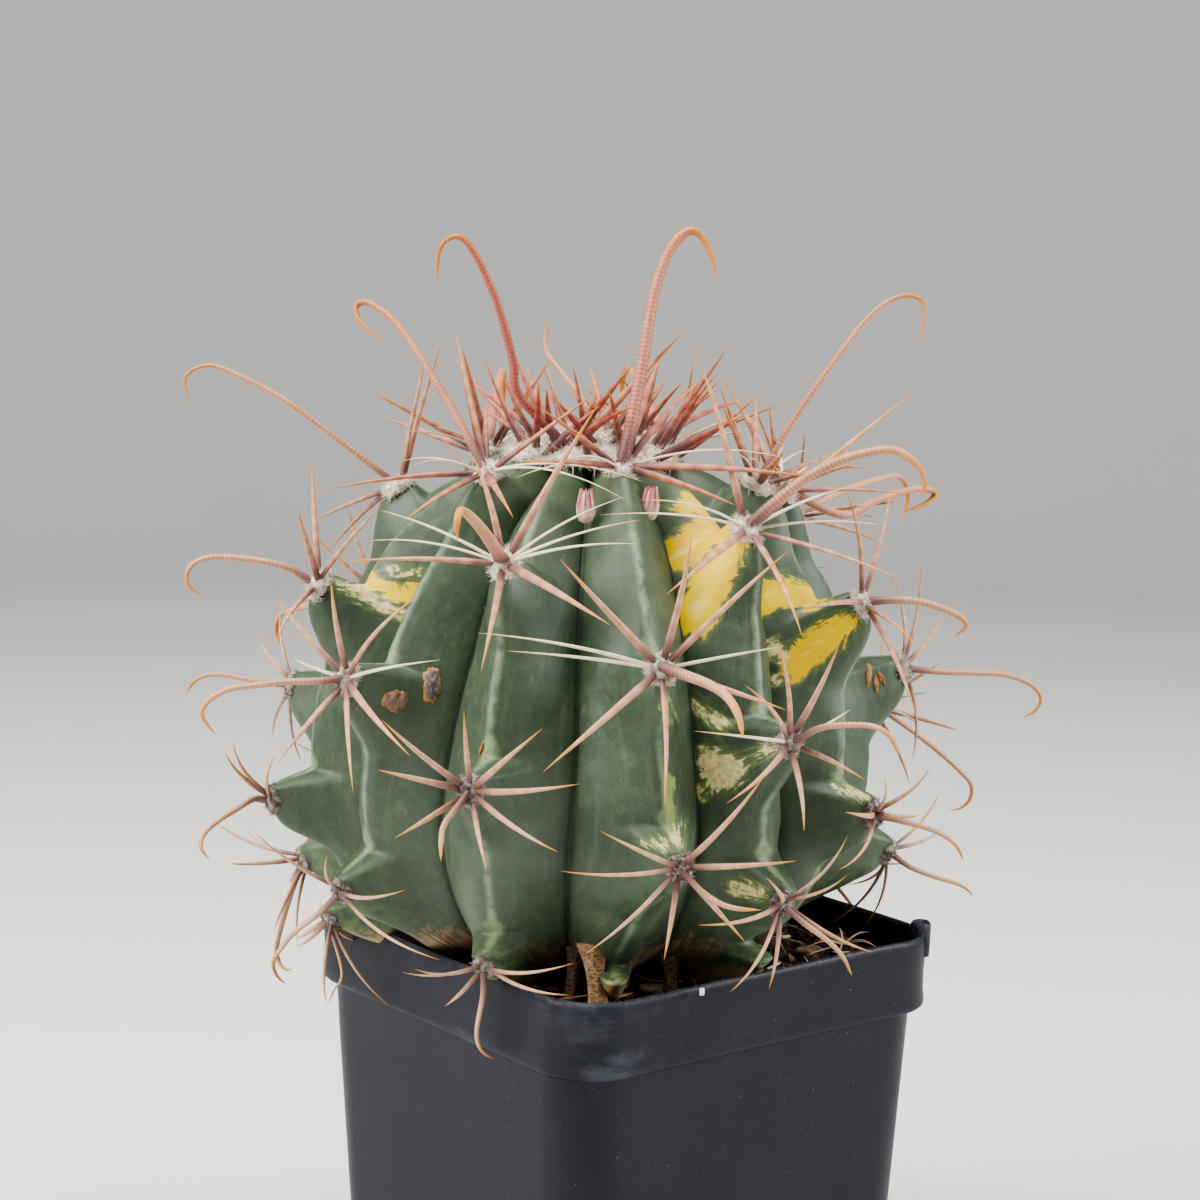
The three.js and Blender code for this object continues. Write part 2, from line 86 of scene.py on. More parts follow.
# %% Place the camera
IMAGE_SIZE = 1200
FOCAL_PIXELS = 2573
CAMERA_AZIMUTH = math.radians(-38.5)
CAMERA_DISTANCE = 545 * MM
CAMERA_HEIGHT = 239 * MM
CAMERA_PITCH = math.radians(7.8)
CAMERA_YAW = math.radians(0.63)
CAMERA_ROLL = math.radians(1.18)
SENSOR_WIDTH = 36


def camera_axes():
    """The directions to the right, up and forward of the camera."""
    heading = CAMERA_AZIMUTH + CAMERA_YAW
    forward = np.array([-math.sin(heading) * math.cos(CAMERA_PITCH),
                        math.cos(heading) * math.cos(CAMERA_PITCH),
                        -math.sin(CAMERA_PITCH)])
    right = np.cross(forward, [0, 0, 1])
    right /= np.linalg.norm(right)
    up = np.cross(right, forward)
    cos, sin = math.cos(CAMERA_ROLL), math.sin(CAMERA_ROLL)
    return cos * right + sin * up, cos * up - sin * right, forward


EYE = np.array([CAMERA_DISTANCE * math.sin(CAMERA_AZIMUTH),
                -CAMERA_DISTANCE * math.cos(CAMERA_AZIMUTH), CAMERA_HEIGHT])
RIGHT, UP, FORWARD = camera_axes()


def pixel_of(points):
    """Where points show in the photograph's frame of 1200 by 1200 pixels."""
    away = np.atleast_2d(points) - EYE
    depth = away @ FORWARD
    middle = IMAGE_SIZE / 2
    return np.stack([middle + FOCAL_PIXELS * (away @ RIGHT) / depth,
                     middle - FOCAL_PIXELS * (away @ UP) / depth], axis=1)


def sight_line(pixel):
    """The direction from the camera through a pixel."""
    x, y = pixel
    middle = IMAGE_SIZE / 2
    line = FORWARD * FOCAL_PIXELS + RIGHT * (x - middle) - UP * (y - middle)
    return line / np.linalg.norm(line)


camera = show("Camera", bpy.data.cameras.new("Camera"))
camera.data.sensor_width = SENSOR_WIDTH
camera.data.lens = FOCAL_PIXELS * SENSOR_WIDTH / IMAGE_SIZE
camera.data.clip_start = 0.01
camera.data.clip_end = 50
turned = np.eye(4)
turned[:3, 0], turned[:3, 1], turned[:3, 2], turned[:3, 3] = RIGHT, UP, -FORWARD, EYE
camera.matrix_world = Matrix(turned.tolist())
bpy.context.scene.camera = camera
print("camera: lens", round(camera.data.lens, 1), "mm at", [round(c, 3) for c in EYE])

# %% [markdown]
# ## Studio
#
# The plant stands in a plain pale bowl: a floor that curves up into a wall, so that no edge or horizon shows
# from any side. Large soft lamps on both sides light the spines' edges, as in the photograph, and leave the
# grooves between the ribs dark.

# %% Floor and lamps
FLOOR_RADIUS = 1.3
SWEEP_RADIUS = 0.7
WALL_TOP = 2.2
SWEEP_STEPS = 16
SIDES_ROUND = 96
LAMP_AIM = (0, 0, 140 * MM)
AIR_STRENGTH = 0.22


def lathe_mesh(name, profile, sides):
    """A turned shape about +Z from points of radius and height, left open at its first and last points."""
    angles = np.arange(sides) / sides * TAU
    places = [(r * math.cos(a), r * math.sin(a), z) for r, z in profile for a in angles]
    faces = []
    for row in range(len(profile) - 1):
        for i in range(sides):
            j = (i + 1) % sides
            faces.append((row * sides + i, row * sides + j, (row + 1) * sides + j, (row + 1) * sides + i))
    mesh = bpy.data.meshes.new(name)
    mesh.from_pydata(places, [], faces)
    return mesh


sweep = [(0.001, 0), (FLOOR_RADIUS, 0)]
for step in range(1, SWEEP_STEPS + 1):
    bend = step / SWEEP_STEPS * TAU / 4
    sweep.append((FLOOR_RADIUS + SWEEP_RADIUS * math.sin(bend), SWEEP_RADIUS * (1 - math.cos(bend))))
sweep.append((FLOOR_RADIUS + SWEEP_RADIUS, WALL_TOP))
studio_floor = show("studio_floor", lathe_mesh("studio_floor", sweep, SIDES_ROUND))
studio_floor.data.shade_smooth()


def soft_lamp(name, place, size, power, colour):
    """A square area lamp aimed at the middle of the plant."""
    lamp = bpy.data.lights.new(name, "AREA")
    lamp.size = size
    lamp.energy = power
    lamp.color = colour
    holder = show(name, lamp)
    holder.location = place
    aim = Vector(LAMP_AIM) - Vector(place)
    holder.rotation_euler = aim.to_track_quat("-Z", "Y").to_euler()


def beside_camera(sideways, ahead, height):
    """A place given from the plant: to the camera's right, towards the camera, and up."""
    level = np.array([FORWARD[0], FORWARD[1], 0])
    level /= np.linalg.norm(level)
    across = np.array([level[1], -level[0], 0])
    return tuple(across * sideways - level * ahead + np.array([0, 0, height]))


soft_lamp("lamp_left", beside_camera(-0.85, 0.35, 0.6), 0.5, 13, (1, 0.985, 0.96))
soft_lamp("lamp_right", beside_camera(0.9, 0.15, 0.5), 0.5, 9.5, (0.97, 0.985, 1))
soft_lamp("lamp_top", beside_camera(-0.1, 0.1, 1.0), 0.6, 13, (1, 1, 1))

world = bpy.data.worlds.new("studio_air")
world.use_nodes = True
world.node_tree.nodes["Background"].inputs["Color"].default_value = (0.85, 0.88, 0.92, 1)
world.node_tree.nodes["Background"].inputs["Strength"].default_value = AIR_STRENGTH
bpy.context.scene.world = world
bpy.context.scene.view_settings.look = "AgX - Medium High Contrast"
print("studio: floor radius", FLOOR_RADIUS, "and three lamps")

# %% [markdown]
# ## A short way to write node trees
#
# A material or a Geometry Nodes tree is a net of nodes, and adding each by hand takes many lines. The small
# class below wraps one socket, so that an expression such as 1 - mask * 0.5 adds its own Math nodes. A second
# class adds any other node from its type, its settings and the values or links of its sockets.

# %% Sockets that do arithmetic


class Flow:
    """A socket whose arithmetic adds Math nodes to its tree."""

    def __init__(self, net, socket):
        self.net = net
        self.socket = socket

    def math(self, operation, *others):
        return self.net.add("ShaderNodeMath", {"operation": operation}, dict(enumerate((self, *others))))

    def __add__(self, other):
        return self.math("ADD", other)

    __radd__ = __add__

    def __mul__(self, other):
        return self.math("MULTIPLY", other)

    __rmul__ = __mul__

    def __sub__(self, other):
        return self.math("SUBTRACT", other)

    def __rsub__(self, other):
        return (self * -1) + other

    def __pow__(self, other):
        return self.math("POWER", other)

    def least(self, other):
        return self.math("MINIMUM", other)

    def most(self, other):
        return self.math("MAXIMUM", other)

    def size(self):
        return self.math("ABSOLUTE")

    def between(self, low, high):
        """0 at low, 1 at high, smooth between them."""
        return self.net.add("ShaderNodeMapRange", {"interpolation_type": "SMOOTHSTEP"},
                            {"Value": self, "From Min": low, "From Max": high})


class Net:
    """A node tree under construction."""

    def __init__(self, tree):
        self.tree = tree

    def add(self, kind, settings=None, values=None, out=0):
        """Adds a node, sets it up, and returns one of its outputs."""
        node = self.tree.nodes.new(kind)
        for name, value in (settings or {}).items():
            setattr(node, name, value)
        for name, value in (values or {}).items():
            socket = node.inputs[name]
            if isinstance(value, Flow):
                self.tree.links.new(value.socket, socket)
            else:
                socket.default_value = value
        return Flow(self, node.outputs[out])

    def field(self, name):
        """A number stored on the mesh's points."""
        return self.add("ShaderNodeAttribute", {"attribute_name": name}, out="Fac")

    def noise(self, place, scale, detail=3.0, rough=0.55):
        return self.add("ShaderNodeTexNoise", {},
                        {"Vector": place, "Scale": scale, "Detail": detail, "Roughness": rough})

    def stretched(self, place, scale):
        """Coordinates scaled along each axis."""
        return self.add("ShaderNodeMapping", {}, {"Vector": place, "Scale": scale})

    def vector(self, x, y, z=0.0):
        return self.add("ShaderNodeCombineXYZ", {}, {"X": x, "Y": y, "Z": z})

    def blend(self, share, first, second):
        """A colour between two colours."""
        values = {"Factor": share, 6: first, 7: second}
        return self.add("ShaderNodeMix", {"data_type": "RGBA"}, values, out=2)

    def painted(self, base, *coats):
        """A colour under coats of others, each given as its share and its colour."""
        for share, coat in coats:
            base = self.blend(share, base, coat)
        return base


def colour(red, green, blue):
    return (red, green, blue, 1)


def new_surface(name, **fixed):
    """A material with fixed values on its Principled shader, its net, and the place of each point."""
    material = bpy.data.materials.new(name)
    material.use_nodes = True
    for socket, value in fixed.items():
        material.node_tree.nodes["Principled BSDF"].inputs[socket.replace("_", " ")].default_value = value
    net = Net(material.node_tree)
    return material, net, net.add("ShaderNodeTexCoord", out="Object")


def join_up(net, **links):
    """Joins flows to the sockets of a material's Principled shader."""
    for socket, flow in links.items():
        net.tree.links.new(flow.socket, net.tree.nodes["Principled BSDF"].inputs[socket.replace("_", " ")])


def bumped(net, height, depth, strength=1.0):
    """A surface normal from a height pattern that is depth metres deep."""
    return net.add("ShaderNodeBump", {}, {"Height": height, "Distance": depth, "Strength": strength})


floor_material, net, place = new_surface("pale_floor", Roughness=0.75)
join_up(net, Base_Color=net.blend(net.noise(place, 3.0), colour(0.70, 0.69, 0.67), colour(0.74, 0.73, 0.71)))
studio_floor.data.materials.append(floor_material)
print("floor material:", floor_material.name)

# %% [markdown]
# ## The plant's outline and ribs
#
# A barrel cactus grows from its top. Its areoles, the woolly spots that bear the spines, come one after
# another in a spiral, and stand in upright ribs. All the areoles lie on one rounded outline, and the skin
# falls away from it between them: a little along each rib's crest, and deeply in the grooves. So the whole
# body follows a rule with two coordinates, the turn round the plant and the length along the outline from
# the crown. The same rule and numbers shaped the frame's body, so the spines land on this skin.

# %% The outline that the areoles lie on
RIM_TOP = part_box("nursery_pot")[1].z - 2.2 * MM
PLANT_X = -6 * MM
PLANT_Y = 5 * MM
GIRTH = 69.5 * MM
WAIST_Z = RIM_TOP + 38 * MM
CROWN_RISE = 66 * MM
BASE_DROP = 56 * MM
SQUARENESS = 2.15
FRONT = -128.5
OUTLINE_STEPS = 2000
LOW_START = 118 * MM
LOW_END = 150 * MM

slope = np.linspace(TAU / 4, -TAU / 4, OUTLINE_STEPS + 1)
outline_radius = GIRTH * np.abs(np.cos(slope)) ** (2 / SQUARENESS)
outline_reach = np.where(slope > 0, CROWN_RISE, -BASE_DROP)
outline_z = WAIST_Z + outline_reach * np.abs(np.sin(slope)) ** (2 / SQUARENESS)
outline_steps = np.hypot(np.diff(outline_radius), np.diff(outline_z))
outline_length = np.concatenate([[0], np.cumsum(outline_steps)])
TOTAL_LENGTH = outline_length[-1]


def outline_at(length):
    """The outline's radius, height and outward direction at lengths along the skin from the crown."""
    radius = np.interp(length, outline_length, outline_radius)
    z = np.interp(length, outline_length, outline_z)
    reach = 0.4 * MM
    before, after = np.clip(length - reach, 0, TOTAL_LENGTH), np.clip(length + reach, 0, TOTAL_LENGTH)
    wide = np.subtract(*(np.interp(place, outline_length, outline_radius) for place in (after, before)))
    fall = np.subtract(*(np.interp(place, outline_length, outline_z) for place in (before, after)))
    run = np.hypot(wide, fall)
    return radius, z, fall / run, wide / run


def length_at_height(height):
    """The length along the skin to a height over the rim."""
    return np.interp(-(RIM_TOP + height), -outline_z, outline_length)


print("outline: length", round(TOTAL_LENGTH / MM), "mm, rim top at", round(RIM_TOP / MM, 1), "mm")

# %% [markdown]
# Each rib has a turn from the plant's front, in degrees. Each areole has its height over the rim in
# millimetres, the sway of the rib's crest there in degrees, and its hooked spine: the clock angle on the skin
# (0 is up the rib, 90 is anticlockwise round the plant), the lift from the skin and the length.

# %% The ribs and their areoles
RIBS = {
    "a": (-18, [(83, 0, 155, 70, 36), (41, 0, -150, 45, 24), (3, -1.5, -165, 40, 22)]),
    "b": (13, [(100, 0, 40, 60, 46), (65, 0, 140, 50, 26), (27, 3, 105, 40, 24)]),
    "c": (38, [(89, 4, 125, 42, 38), (50, -2.5, 85, 50, 25), (17, -1, 130, 45, 24)]),
    "d": (64, [(96, 8, 100, 70, 44), (73, 3.5, 145, 60, 32), (32, -6.5, 150, 60, 25)]),
    "e": (87, [(94, 0, 100, 45, 30), (55, 7, -160, 67, 32), (16, 2, -140, 70, 25)]),
    "f": (116, [(86, 2, 150, 55, 34), (43, -2, -160, 50, 28), (6, 1, 160, 45, 22)]),
    "g": (145, [(100, -2, 115, 40, 34), (70, 3, 150, 60, 30), (27, -1, -150, 50, 25)]),
    "h": (174, [(93, 1, 70, 62, 32), (52, -3, 160, 55, 28), (13, 2, -155, 45, 23)]),
    "i": (202, [(80, -1, -150, 60, 32), (36, 2, 150, 50, 26), (5, 3, -170, 45, 22)]),
    "j": (231, [(99, 3, -110, 40, 34), (63, -2, 170, 60, 30), (21, -1, 140, 50, 24)]),
    "k": (260, [(92, 2, 150, 60, 40), (46, -6, 120, 65, 28), (10, 6, -150, 50, 23)]),
    "l": (286, [(74, 4.5, -155, 70, 30), (29, 3, 105, 55, 24), (3, 3, 150, 40, 20)]),
    "m": (315, [(98, 2, -75, 50, 42), (59, 0, -130, 55, 31), (15, -3.5, -130, 45, 26)]),
}
RIB_NAMES = list(RIBS)


def smoothstep(low, high, value):
    share = np.clip((value - low) / (high - low), 0, 1)
    return share * share * (3 - 2 * share)


def mix(first, second, share):
    return first + (second - first) * share


def areole_lengths(rib):
    return [length_at_height(height * MM) for height, *_ in RIBS[rib][1]]


def crest_turn(rib, length):
    """The angle of a rib's crest from the front, which sways smoothly from areole to areole."""
    turn, areoles = RIBS[rib]
    places = areole_lengths(rib)
    sway = np.full(np.shape(length), float(areoles[0][1]))
    for i in (1, 2):
        sway = mix(sway, areoles[i][1], smoothstep(places[i - 1], places[i], length))
    return turn + sway


def skin_point(turn, length, depth):
    """A point at a depth under the outline. Near the soil the depth is measured towards the axis."""
    radius, z, outward, upward = outline_at(length)
    angle = np.radians(FRONT + turn)
    low = smoothstep(LOW_START, LOW_END, length)
    inside = radius - np.minimum(depth * mix(outward, 1, low), 0.45 * radius)
    return np.stack([PLANT_X + inside * np.cos(angle), PLANT_Y + inside * np.sin(angle),
                     z - depth * mix(upward, 0, low)], axis=-1)


class Areole:
    """Where one areole sits, and the directions out of the skin, up the rib and anticlockwise round it."""

    def __init__(self, turn, length):
        radius, z, outward, upward = outline_at(np.array(length))
        angle = math.radians(FRONT + turn)
        self.length = float(length)
        self.age = float(smoothstep(30 * MM, 150 * MM, length))
        self.out = np.array([math.cos(angle) * outward, math.sin(angle) * outward, upward])
        self.round = np.array([-math.sin(angle), math.cos(angle), 0])
        self.up = np.cross(self.out, self.round)
        self.origin = skin_point(turn, np.array(length), 0.0)

    def direction(self, clock, lift):
        clock, lift = math.radians(clock), math.radians(lift)
        flat = self.up * math.cos(clock) + self.round * math.sin(clock)
        return self.out * math.sin(lift) + flat * math.cos(lift)


AREOLES = {}
for rib, (turn, areoles) in RIBS.items():
    for number, (height, sway, *_) in enumerate(areoles, 1):
        AREOLES[f"{rib}{number}"] = Areole(turn + sway, length_at_height(height * MM))
print("areoles:", len(AREOLES), "with b2 at pixel", pixel_of(AREOLES["b2"].origin).round()[0])

# %% [markdown]
# ## The body's skin
#
# The skin is a grid of points over the turn and the length. A sculpted or subdivided shape could look as
# good, but the rule keeps the thirteen ribs alike and every areole on its seat. Each areole sits on a blunt
# nose: a short shelf above it, a long chin below. The crests sway from areole to areole, but the grooves run
# almost straight down. The flanks between them are nearly flat and meet in a fine deep crease.

# %% How deep the skin lies under the outline
ROWS = 252
BELOW_SOIL = RIM_TOP - 12 * MM
SHELF_INNER = -6.0 * MM
SHELF_OUTER = -2.8 * MM
CHIN_TOP = 2.6 * MM
CHIN_FOOT = 17 * MM
NOSE_HALF_WIDTH = 6.0 * MM
BARE_NOSES = {"b": (-2, -8), "c": (0.5, 6)}
FOOTED_RIBS = "abcfil"
FOOT_HALF_WIDTH = 5.0 * MM
UNDERCUT_START = length_at_height(8.5 * MM)
UNDERCUT_END = length_at_height(-7 * MM)
UNDERCUT_DEPTH = 6.5 * MM
CREST_DROPS_MM = (3, 9)
GROOVE_DEPTHS_MM = (3.5, 10.5, 6.5)
CREST_WIDTHS_MM = (0.2, 2.0)
CREST_ROUNDING = 0.5 * MM
FLANK_BEND = 1.15
CREASE_WIDTH = 0.8 * MM
EVENING_ROWS = 50
COLUMN_SHARES = np.array([0, 0.05, 0.11, 0.19, 0.29, 0.40, 0.51, 0.62, 0.73, 0.83, 0.91, 0.965])


def nose_lengths(rib):
    """Where a rib's noses are: under its areoles, and bare near the soil on two ribs."""
    places = areole_lengths(rib)
    if rib in BARE_NOSES:
        places = places + [length_at_height(BARE_NOSES[rib][0] * MM)]
    return places


def leaning_crest(rib, length):
    """The crest's turn, which leans to one side below the lowest areole where a bare nose stands."""
    lean = BARE_NOSES[rib][1] if rib in BARE_NOSES else 0
    return crest_turn(rib, length) + lean * smoothstep(LOW_START, LOW_END, length)


def nose_height(rib, length):
    """How far a rib's skin is raised towards the outline: fully at an areole, then less below its chin."""
    raised = np.zeros_like(length)
    for place in nose_lengths(rib):
        down = length - place
        shelf = np.clip((down - SHELF_INNER) / (SHELF_OUTER - SHELF_INNER), 0, 1)
        shelf = mix(shelf, shelf * shelf * (3 - 2 * shelf), 0.6)
        chin = 1 - smoothstep(CHIN_TOP, CHIN_FOOT, down)
        raised = np.maximum(raised, np.where(down < 0, shelf, chin))
    return raised


def flank_depth(rib, off_crest, to_groove, length):
    """How deep a flank puts the skin at a distance from its crest and its groove, and its nose's share."""
    drop = mix(*CREST_DROPS_MM, smoothstep(15 * MM, 80 * MM, length)) * MM
    groove = mix(*GROOVE_DEPTHS_MM[:2], smoothstep(10 * MM, 75 * MM, length))
    groove = mix(groove, GROOVE_DEPTHS_MM[2], smoothstep(88 * MM, 135 * MM, length)) * MM
    flat_crest = mix(*CREST_WIDTHS_MM, smoothstep(80 * MM, 135 * MM, length)) * MM

    def past_crest(distance):
        return np.sqrt(np.maximum(distance - flat_crest, 0) ** 2 + CREST_ROUNDING ** 2) - CREST_ROUNDING

    share = past_crest(off_crest) / np.maximum(past_crest(off_crest + to_groove), 0.01 * MM)
    ridge = drop + groove * share ** FLANK_BEND
    low = smoothstep(140 * MM, 158 * MM, length)
    nose = nose_height(rib, length) * np.exp(-(off_crest / (NOSE_HALF_WIDTH * (1 - 0.35 * low))) ** 2.4)
    nose = nose * (1 - share ** 4)
    foot = np.exp(-(off_crest / FOOT_HALF_WIDTH) ** 3) * (1 if rib in FOOTED_RIBS else 0.3)
    under = smoothstep(UNDERCUT_START, UNDERCUT_END, length) * (1 - foot)
    return ridge - drop * nose + under * UNDERCUT_DEPTH, nose, foot


def evened(values):
    """A line of values without its short swings."""
    window = 2 * EVENING_ROWS + 1
    return np.convolve(np.pad(values, EVENING_ROWS, mode="edge"), np.ones(window) / window, mode="valid")


def waves(points, size, seed):
    """A smooth random field of about -1 to 1 with features of one size, the same on every run."""
    chance = np.random.default_rng(seed)
    total = np.zeros(points.shape[:-1])
    for _ in range(7):
        heading = chance.normal(size=3)
        heading *= TAU / size / np.linalg.norm(heading) * chance.uniform(0.7, 1.3)
        total += np.sin(points @ heading + chance.uniform(0, TAU))
    return total / 3.5


print("undercut: from", round(UNDERCUT_START / MM), "to", round(UNDERCUT_END / MM), "mm down the outline")

# %% The grid of the body, with a column on every crest and in every groove
half_rib = len(COLUMN_SHARES)
columns_per_rib = 2 * half_rib
row_length = np.linspace(0.2 * MM, np.interp(-BELOW_SOIL, -outline_z, outline_length), ROWS)
columns = []
for index, rib in enumerate(RIB_NAMES):
    following = RIB_NAMES[(index + 1) % len(RIB_NAMES)]
    start = leaning_crest(rib, row_length)
    stop = leaning_crest(following, row_length) + (360 if following == "a" else 0)
    valley = np.clip(((evened(start) + evened(stop)) / 2 - start) / (stop - start), 0.3, 0.7)
    radius = outline_at(row_length)[0]
    for column in range(columns_per_rib):
        if column <= half_rib:
            part = 1.0 if column == half_rib else COLUMN_SHARES[column]
            share, owner = valley * part, rib
        else:
            part = COLUMN_SHARES[columns_per_rib - column]
            share, owner = 1 - (1 - valley) * part, following
        turn = start + (stop - start) * share
        to_groove = np.radians(np.abs(share - valley) * (stop - start)) * radius
        across = np.radians(turn - (start if owner == rib else stop)) * radius
        depth, nose, foot = flank_depth(owner, np.abs(across), to_groove, row_length)
        crease = np.exp(-(to_groove / CREASE_WIDTH) ** 1.3)
        depth = depth + crease * mix(0.2, 1.0, smoothstep(30 * MM, 90 * MM, row_length)) * MM
        depth = mix(3 * MM, depth, smoothstep(0, 18 * MM, row_length))
        columns.append({"turn": turn, "length": row_length, "depth": depth, "across": across, "nose": nose,
                        "foot": foot, "groove": to_groove, "rib": np.full(ROWS, RIB_NAMES.index(owner))})
skin = {name: np.stack([column[name] for column in columns], axis=1) for name in columns[0]}

smooth_skin = skin_point(skin["turn"], skin["length"], skin["depth"])
near_seat = np.full(smooth_skin.shape[:2], 1.0)
for areole in AREOLES.values():
    near_seat = np.minimum(near_seat, np.linalg.norm(smooth_skin - areole.origin, axis=-1))
wobble = 0.35 * waves(smooth_skin, 16 * MM, 3) + 0.14 * waves(smooth_skin, 6 * MM, 4)
wobble *= smoothstep(4 * MM, 10 * MM, near_seat) * MM
skin_points = skin_point(skin["turn"], skin["length"], skin["depth"] + wobble)
print("skin:", skin["turn"].size, "points, deepest", round(skin["depth"].max() / MM, 1), "mm")


def grid_mesh(name, points, tip, tail):
    """A closed mesh from rings of points that turn anticlockwise, from a tip point down to a tail point."""
    rows, columns = points.shape[:2]
    places = np.concatenate([points.reshape(-1, 3), [tip, tail]])
    last = rows * columns
    faces = []
    for row in range(rows - 1):
        for i in range(columns):
            j = (i + 1) % columns
            faces.append([(row + down) * columns + side for down, side in ((0, i), (1, i), (1, j), (0, j))])
    for i in range(columns):
        j = (i + 1) % columns
        faces.append((last, i, j))
        faces.append(((rows - 1) * columns + j, (rows - 1) * columns + i, last + 1))
    mesh = bpy.data.meshes.new(name)
    mesh.from_pydata(places.tolist(), [], faces)
    mesh.shade_smooth()
    return mesh


def store(mesh, name, values, kind="FLOAT"):
    """Keeps one number, or one vector, for each point of a mesh."""
    layer = mesh.attributes.new(name, kind, "POINT")
    member = "vector" if kind == "FLOAT_VECTOR" else "value"
    layer.data.foreach_set(member, np.asarray(values, float).ravel())


def joined(name, *pieces):
    """Several pieces made into one object."""
    with bpy.context.temp_override(active_object=pieces[0], object=pieces[0],
                                   selected_objects=list(pieces), selected_editable_objects=list(pieces)):
        bpy.ops.object.join()
    pieces[0].name = name
    return pieces[0]


crown_tip = skin_point(np.array(0.0), np.array(0.0), 3 * MM)
root_tail = np.array([PLANT_X, PLANT_Y, BELOW_SOIL - 2 * MM])
body_mesh = grid_mesh("cactus_skin", skin_points, crown_tip, root_tail)
body = show("cactus_skin", body_mesh)

# %% [markdown]
# ## Yellow and ivory patches
#
# The plant is variegated: some cells of the skin make no green. The patches follow the growth, so they run
# out from an areole in ragged streaks and stop at a crest or a groove. Each patch is drawn as an outline on
# one flank of one rib, as seen from the camera. The mesh stores how far inside the outline each point is, and
# the material turns that into a feathered edge. Painting them as an image would give a blurred edge.

# %% Outlines of the patches, in pixels of the photograph's frame
PATCHES = [
    # kind, rib, side of the crest, areole that the streaks run out from, outline
    ("yellow", "c", -1, "c1", [(735, 557), (724, 566), (701, 584), (680, 600), (676, 637), (690, 631),
                               (701, 637), (715, 618), (729, 584), (738, 561)]),
    ("yellow", "c", -1, "c1", [(729, 515), (699, 520), (687, 529), (669, 543), (657, 557), (655, 570),
                               (676, 570), (696, 561), (715, 543), (731, 529)]),
    ("yellow", "c", -1, "c1", [(744, 532), (733, 536), (716, 548), (700, 566), (690, 586), (705, 590),
                               (722, 574), (738, 556), (746, 542)]),
    ("yellow", "c", -1, "c1", [(710, 481), (726, 483), (722, 506), (701, 515), (674, 508), (687, 495)]),
    ("yellow", "d", -1, "d2", [(756, 580), (784, 580), (830, 596), (807, 607), (779, 602), (756, 619),
                               (754, 596)]),
    ("yellow", "d", -1, "d2", [(855, 621), (843, 639), (820, 660), (793, 678), (784, 669), (788, 655),
                               (807, 635), (839, 616)]),
    ("ivory", "d", -1, "d2", [(756, 643), (775, 641), (790, 650), (785, 660), (765, 656)]),
    ("ivory", "d", -1, "d2", [(762, 677), (779, 677), (781, 684), (764, 685)]),
    ("ivory", "c", -1, "c2", [(695, 754), (707, 746), (736, 756), (744, 762), (742, 776), (734, 787),
                              (711, 793), (703, 776), (699, 764)]),
    ("ivory", "c", -1, "c2", [(752, 756), (764, 744), (778, 744), (776, 750), (756, 762)]),
    ("ivory", "c", -1, "c2", [(688, 782), (703, 784), (703, 797), (690, 798)]),
    ("ivory", "c", -1, "b2", [(687, 695), (703, 707), (729, 723), (731, 731), (715, 727), (691, 709)]),
    ("olive", "b", 1, "b2", [(663, 697), (669, 697), (670, 724), (664, 724)]),
    ("olive", "b", 1, "b2", [(662, 778), (672, 778), (673, 827), (664, 827)]),
    ("ivory", "b", -1, "b3", [(642, 842), (658, 840), (670, 838), (666, 850), (648, 847)]),
    ("ivory", "b", 1, "b3", [(658, 840), (682, 823), (680, 846), (662, 851)]),
    ("ivory", "b", 1, "b3", [(690, 867), (714, 873), (732, 880), (730, 892), (702, 884)]),
    ("ivory", "c", -1, "c3", [(728, 880), (752, 883), (770, 891), (768, 899), (732, 894)]),
    ("ivory", "c", 1, "c2", [(803, 763), (816, 765), (818, 776), (806, 776)]),
    ("ivory", "d", -1, "d3", [(835, 783), (862, 790), (872, 797), (860, 799), (838, 791)]),
    ("yellow", "l", 1, "l1", [(342, 566), (354, 568), (379, 580), (399, 590), (427, 588), (421, 603),
                              (399, 599), (377, 588), (356, 580)]),
    ("ivory", "l", 1, "l1", [(336, 583), (358, 583), (383, 600), (417, 617), (413, 621), (381, 611),
                             (352, 596)]),
    ("ivory", "l", 1, "l1", [(387, 569), (423, 571), (421, 576), (391, 575)]),
]
PIXELS_PER_MM = 5.15
FAR_OUTSIDE = -3.0
DEEP_INSIDE = 4
STREAKED_EDGE = -2.5
STREAK_ANGLE = 0.085
STREAK_LENGTH = 9
BACK_PATCHES = [
    # kind, rib, side, length from the crown, distance from the crest, half length, half width, in mm
    ("yellow", "g", 1, 74, 8, 13, 3.0), ("yellow", "g", 1, 96, 6, 7, 1.8),
    ("olive", "h", -1, 84, 7, 9, 2.2), ("ivory", "i", 1, 118, 6, 10, 2.2),
    ("yellow", "j", -1, 66, 7, 8, 2.4), ("ivory", "f", -1, 132, 6, 8, 2.0),
]


def inside_outline(pixels, outline):
    """How many pixels inside an outline each point is. Points outside get a negative number."""
    corners = np.array(outline, float)
    edge = np.roll(corners, -1, axis=0) - corners
    to_point = pixels[:, None, :] - corners[None]
    share = np.clip((to_point * edge).sum(-1) / (edge ** 2).sum(-1), 0, 1)
    apart = np.linalg.norm(to_point - share[..., None] * edge, axis=-1).min(axis=1)
    x, y = pixels[:, :1], pixels[:, 1:]
    top, bottom = corners[:, 1], np.roll(corners[:, 1], -1)
    rises = (top > y) != (bottom > y)
    crossing = corners[:, 0] + (y - top) / np.where(bottom == top, 1, bottom - top) * edge[:, 0]
    inside = (rises & (x < crossing)).sum(axis=1) % 2 == 1
    return np.where(inside, apart, -apart)


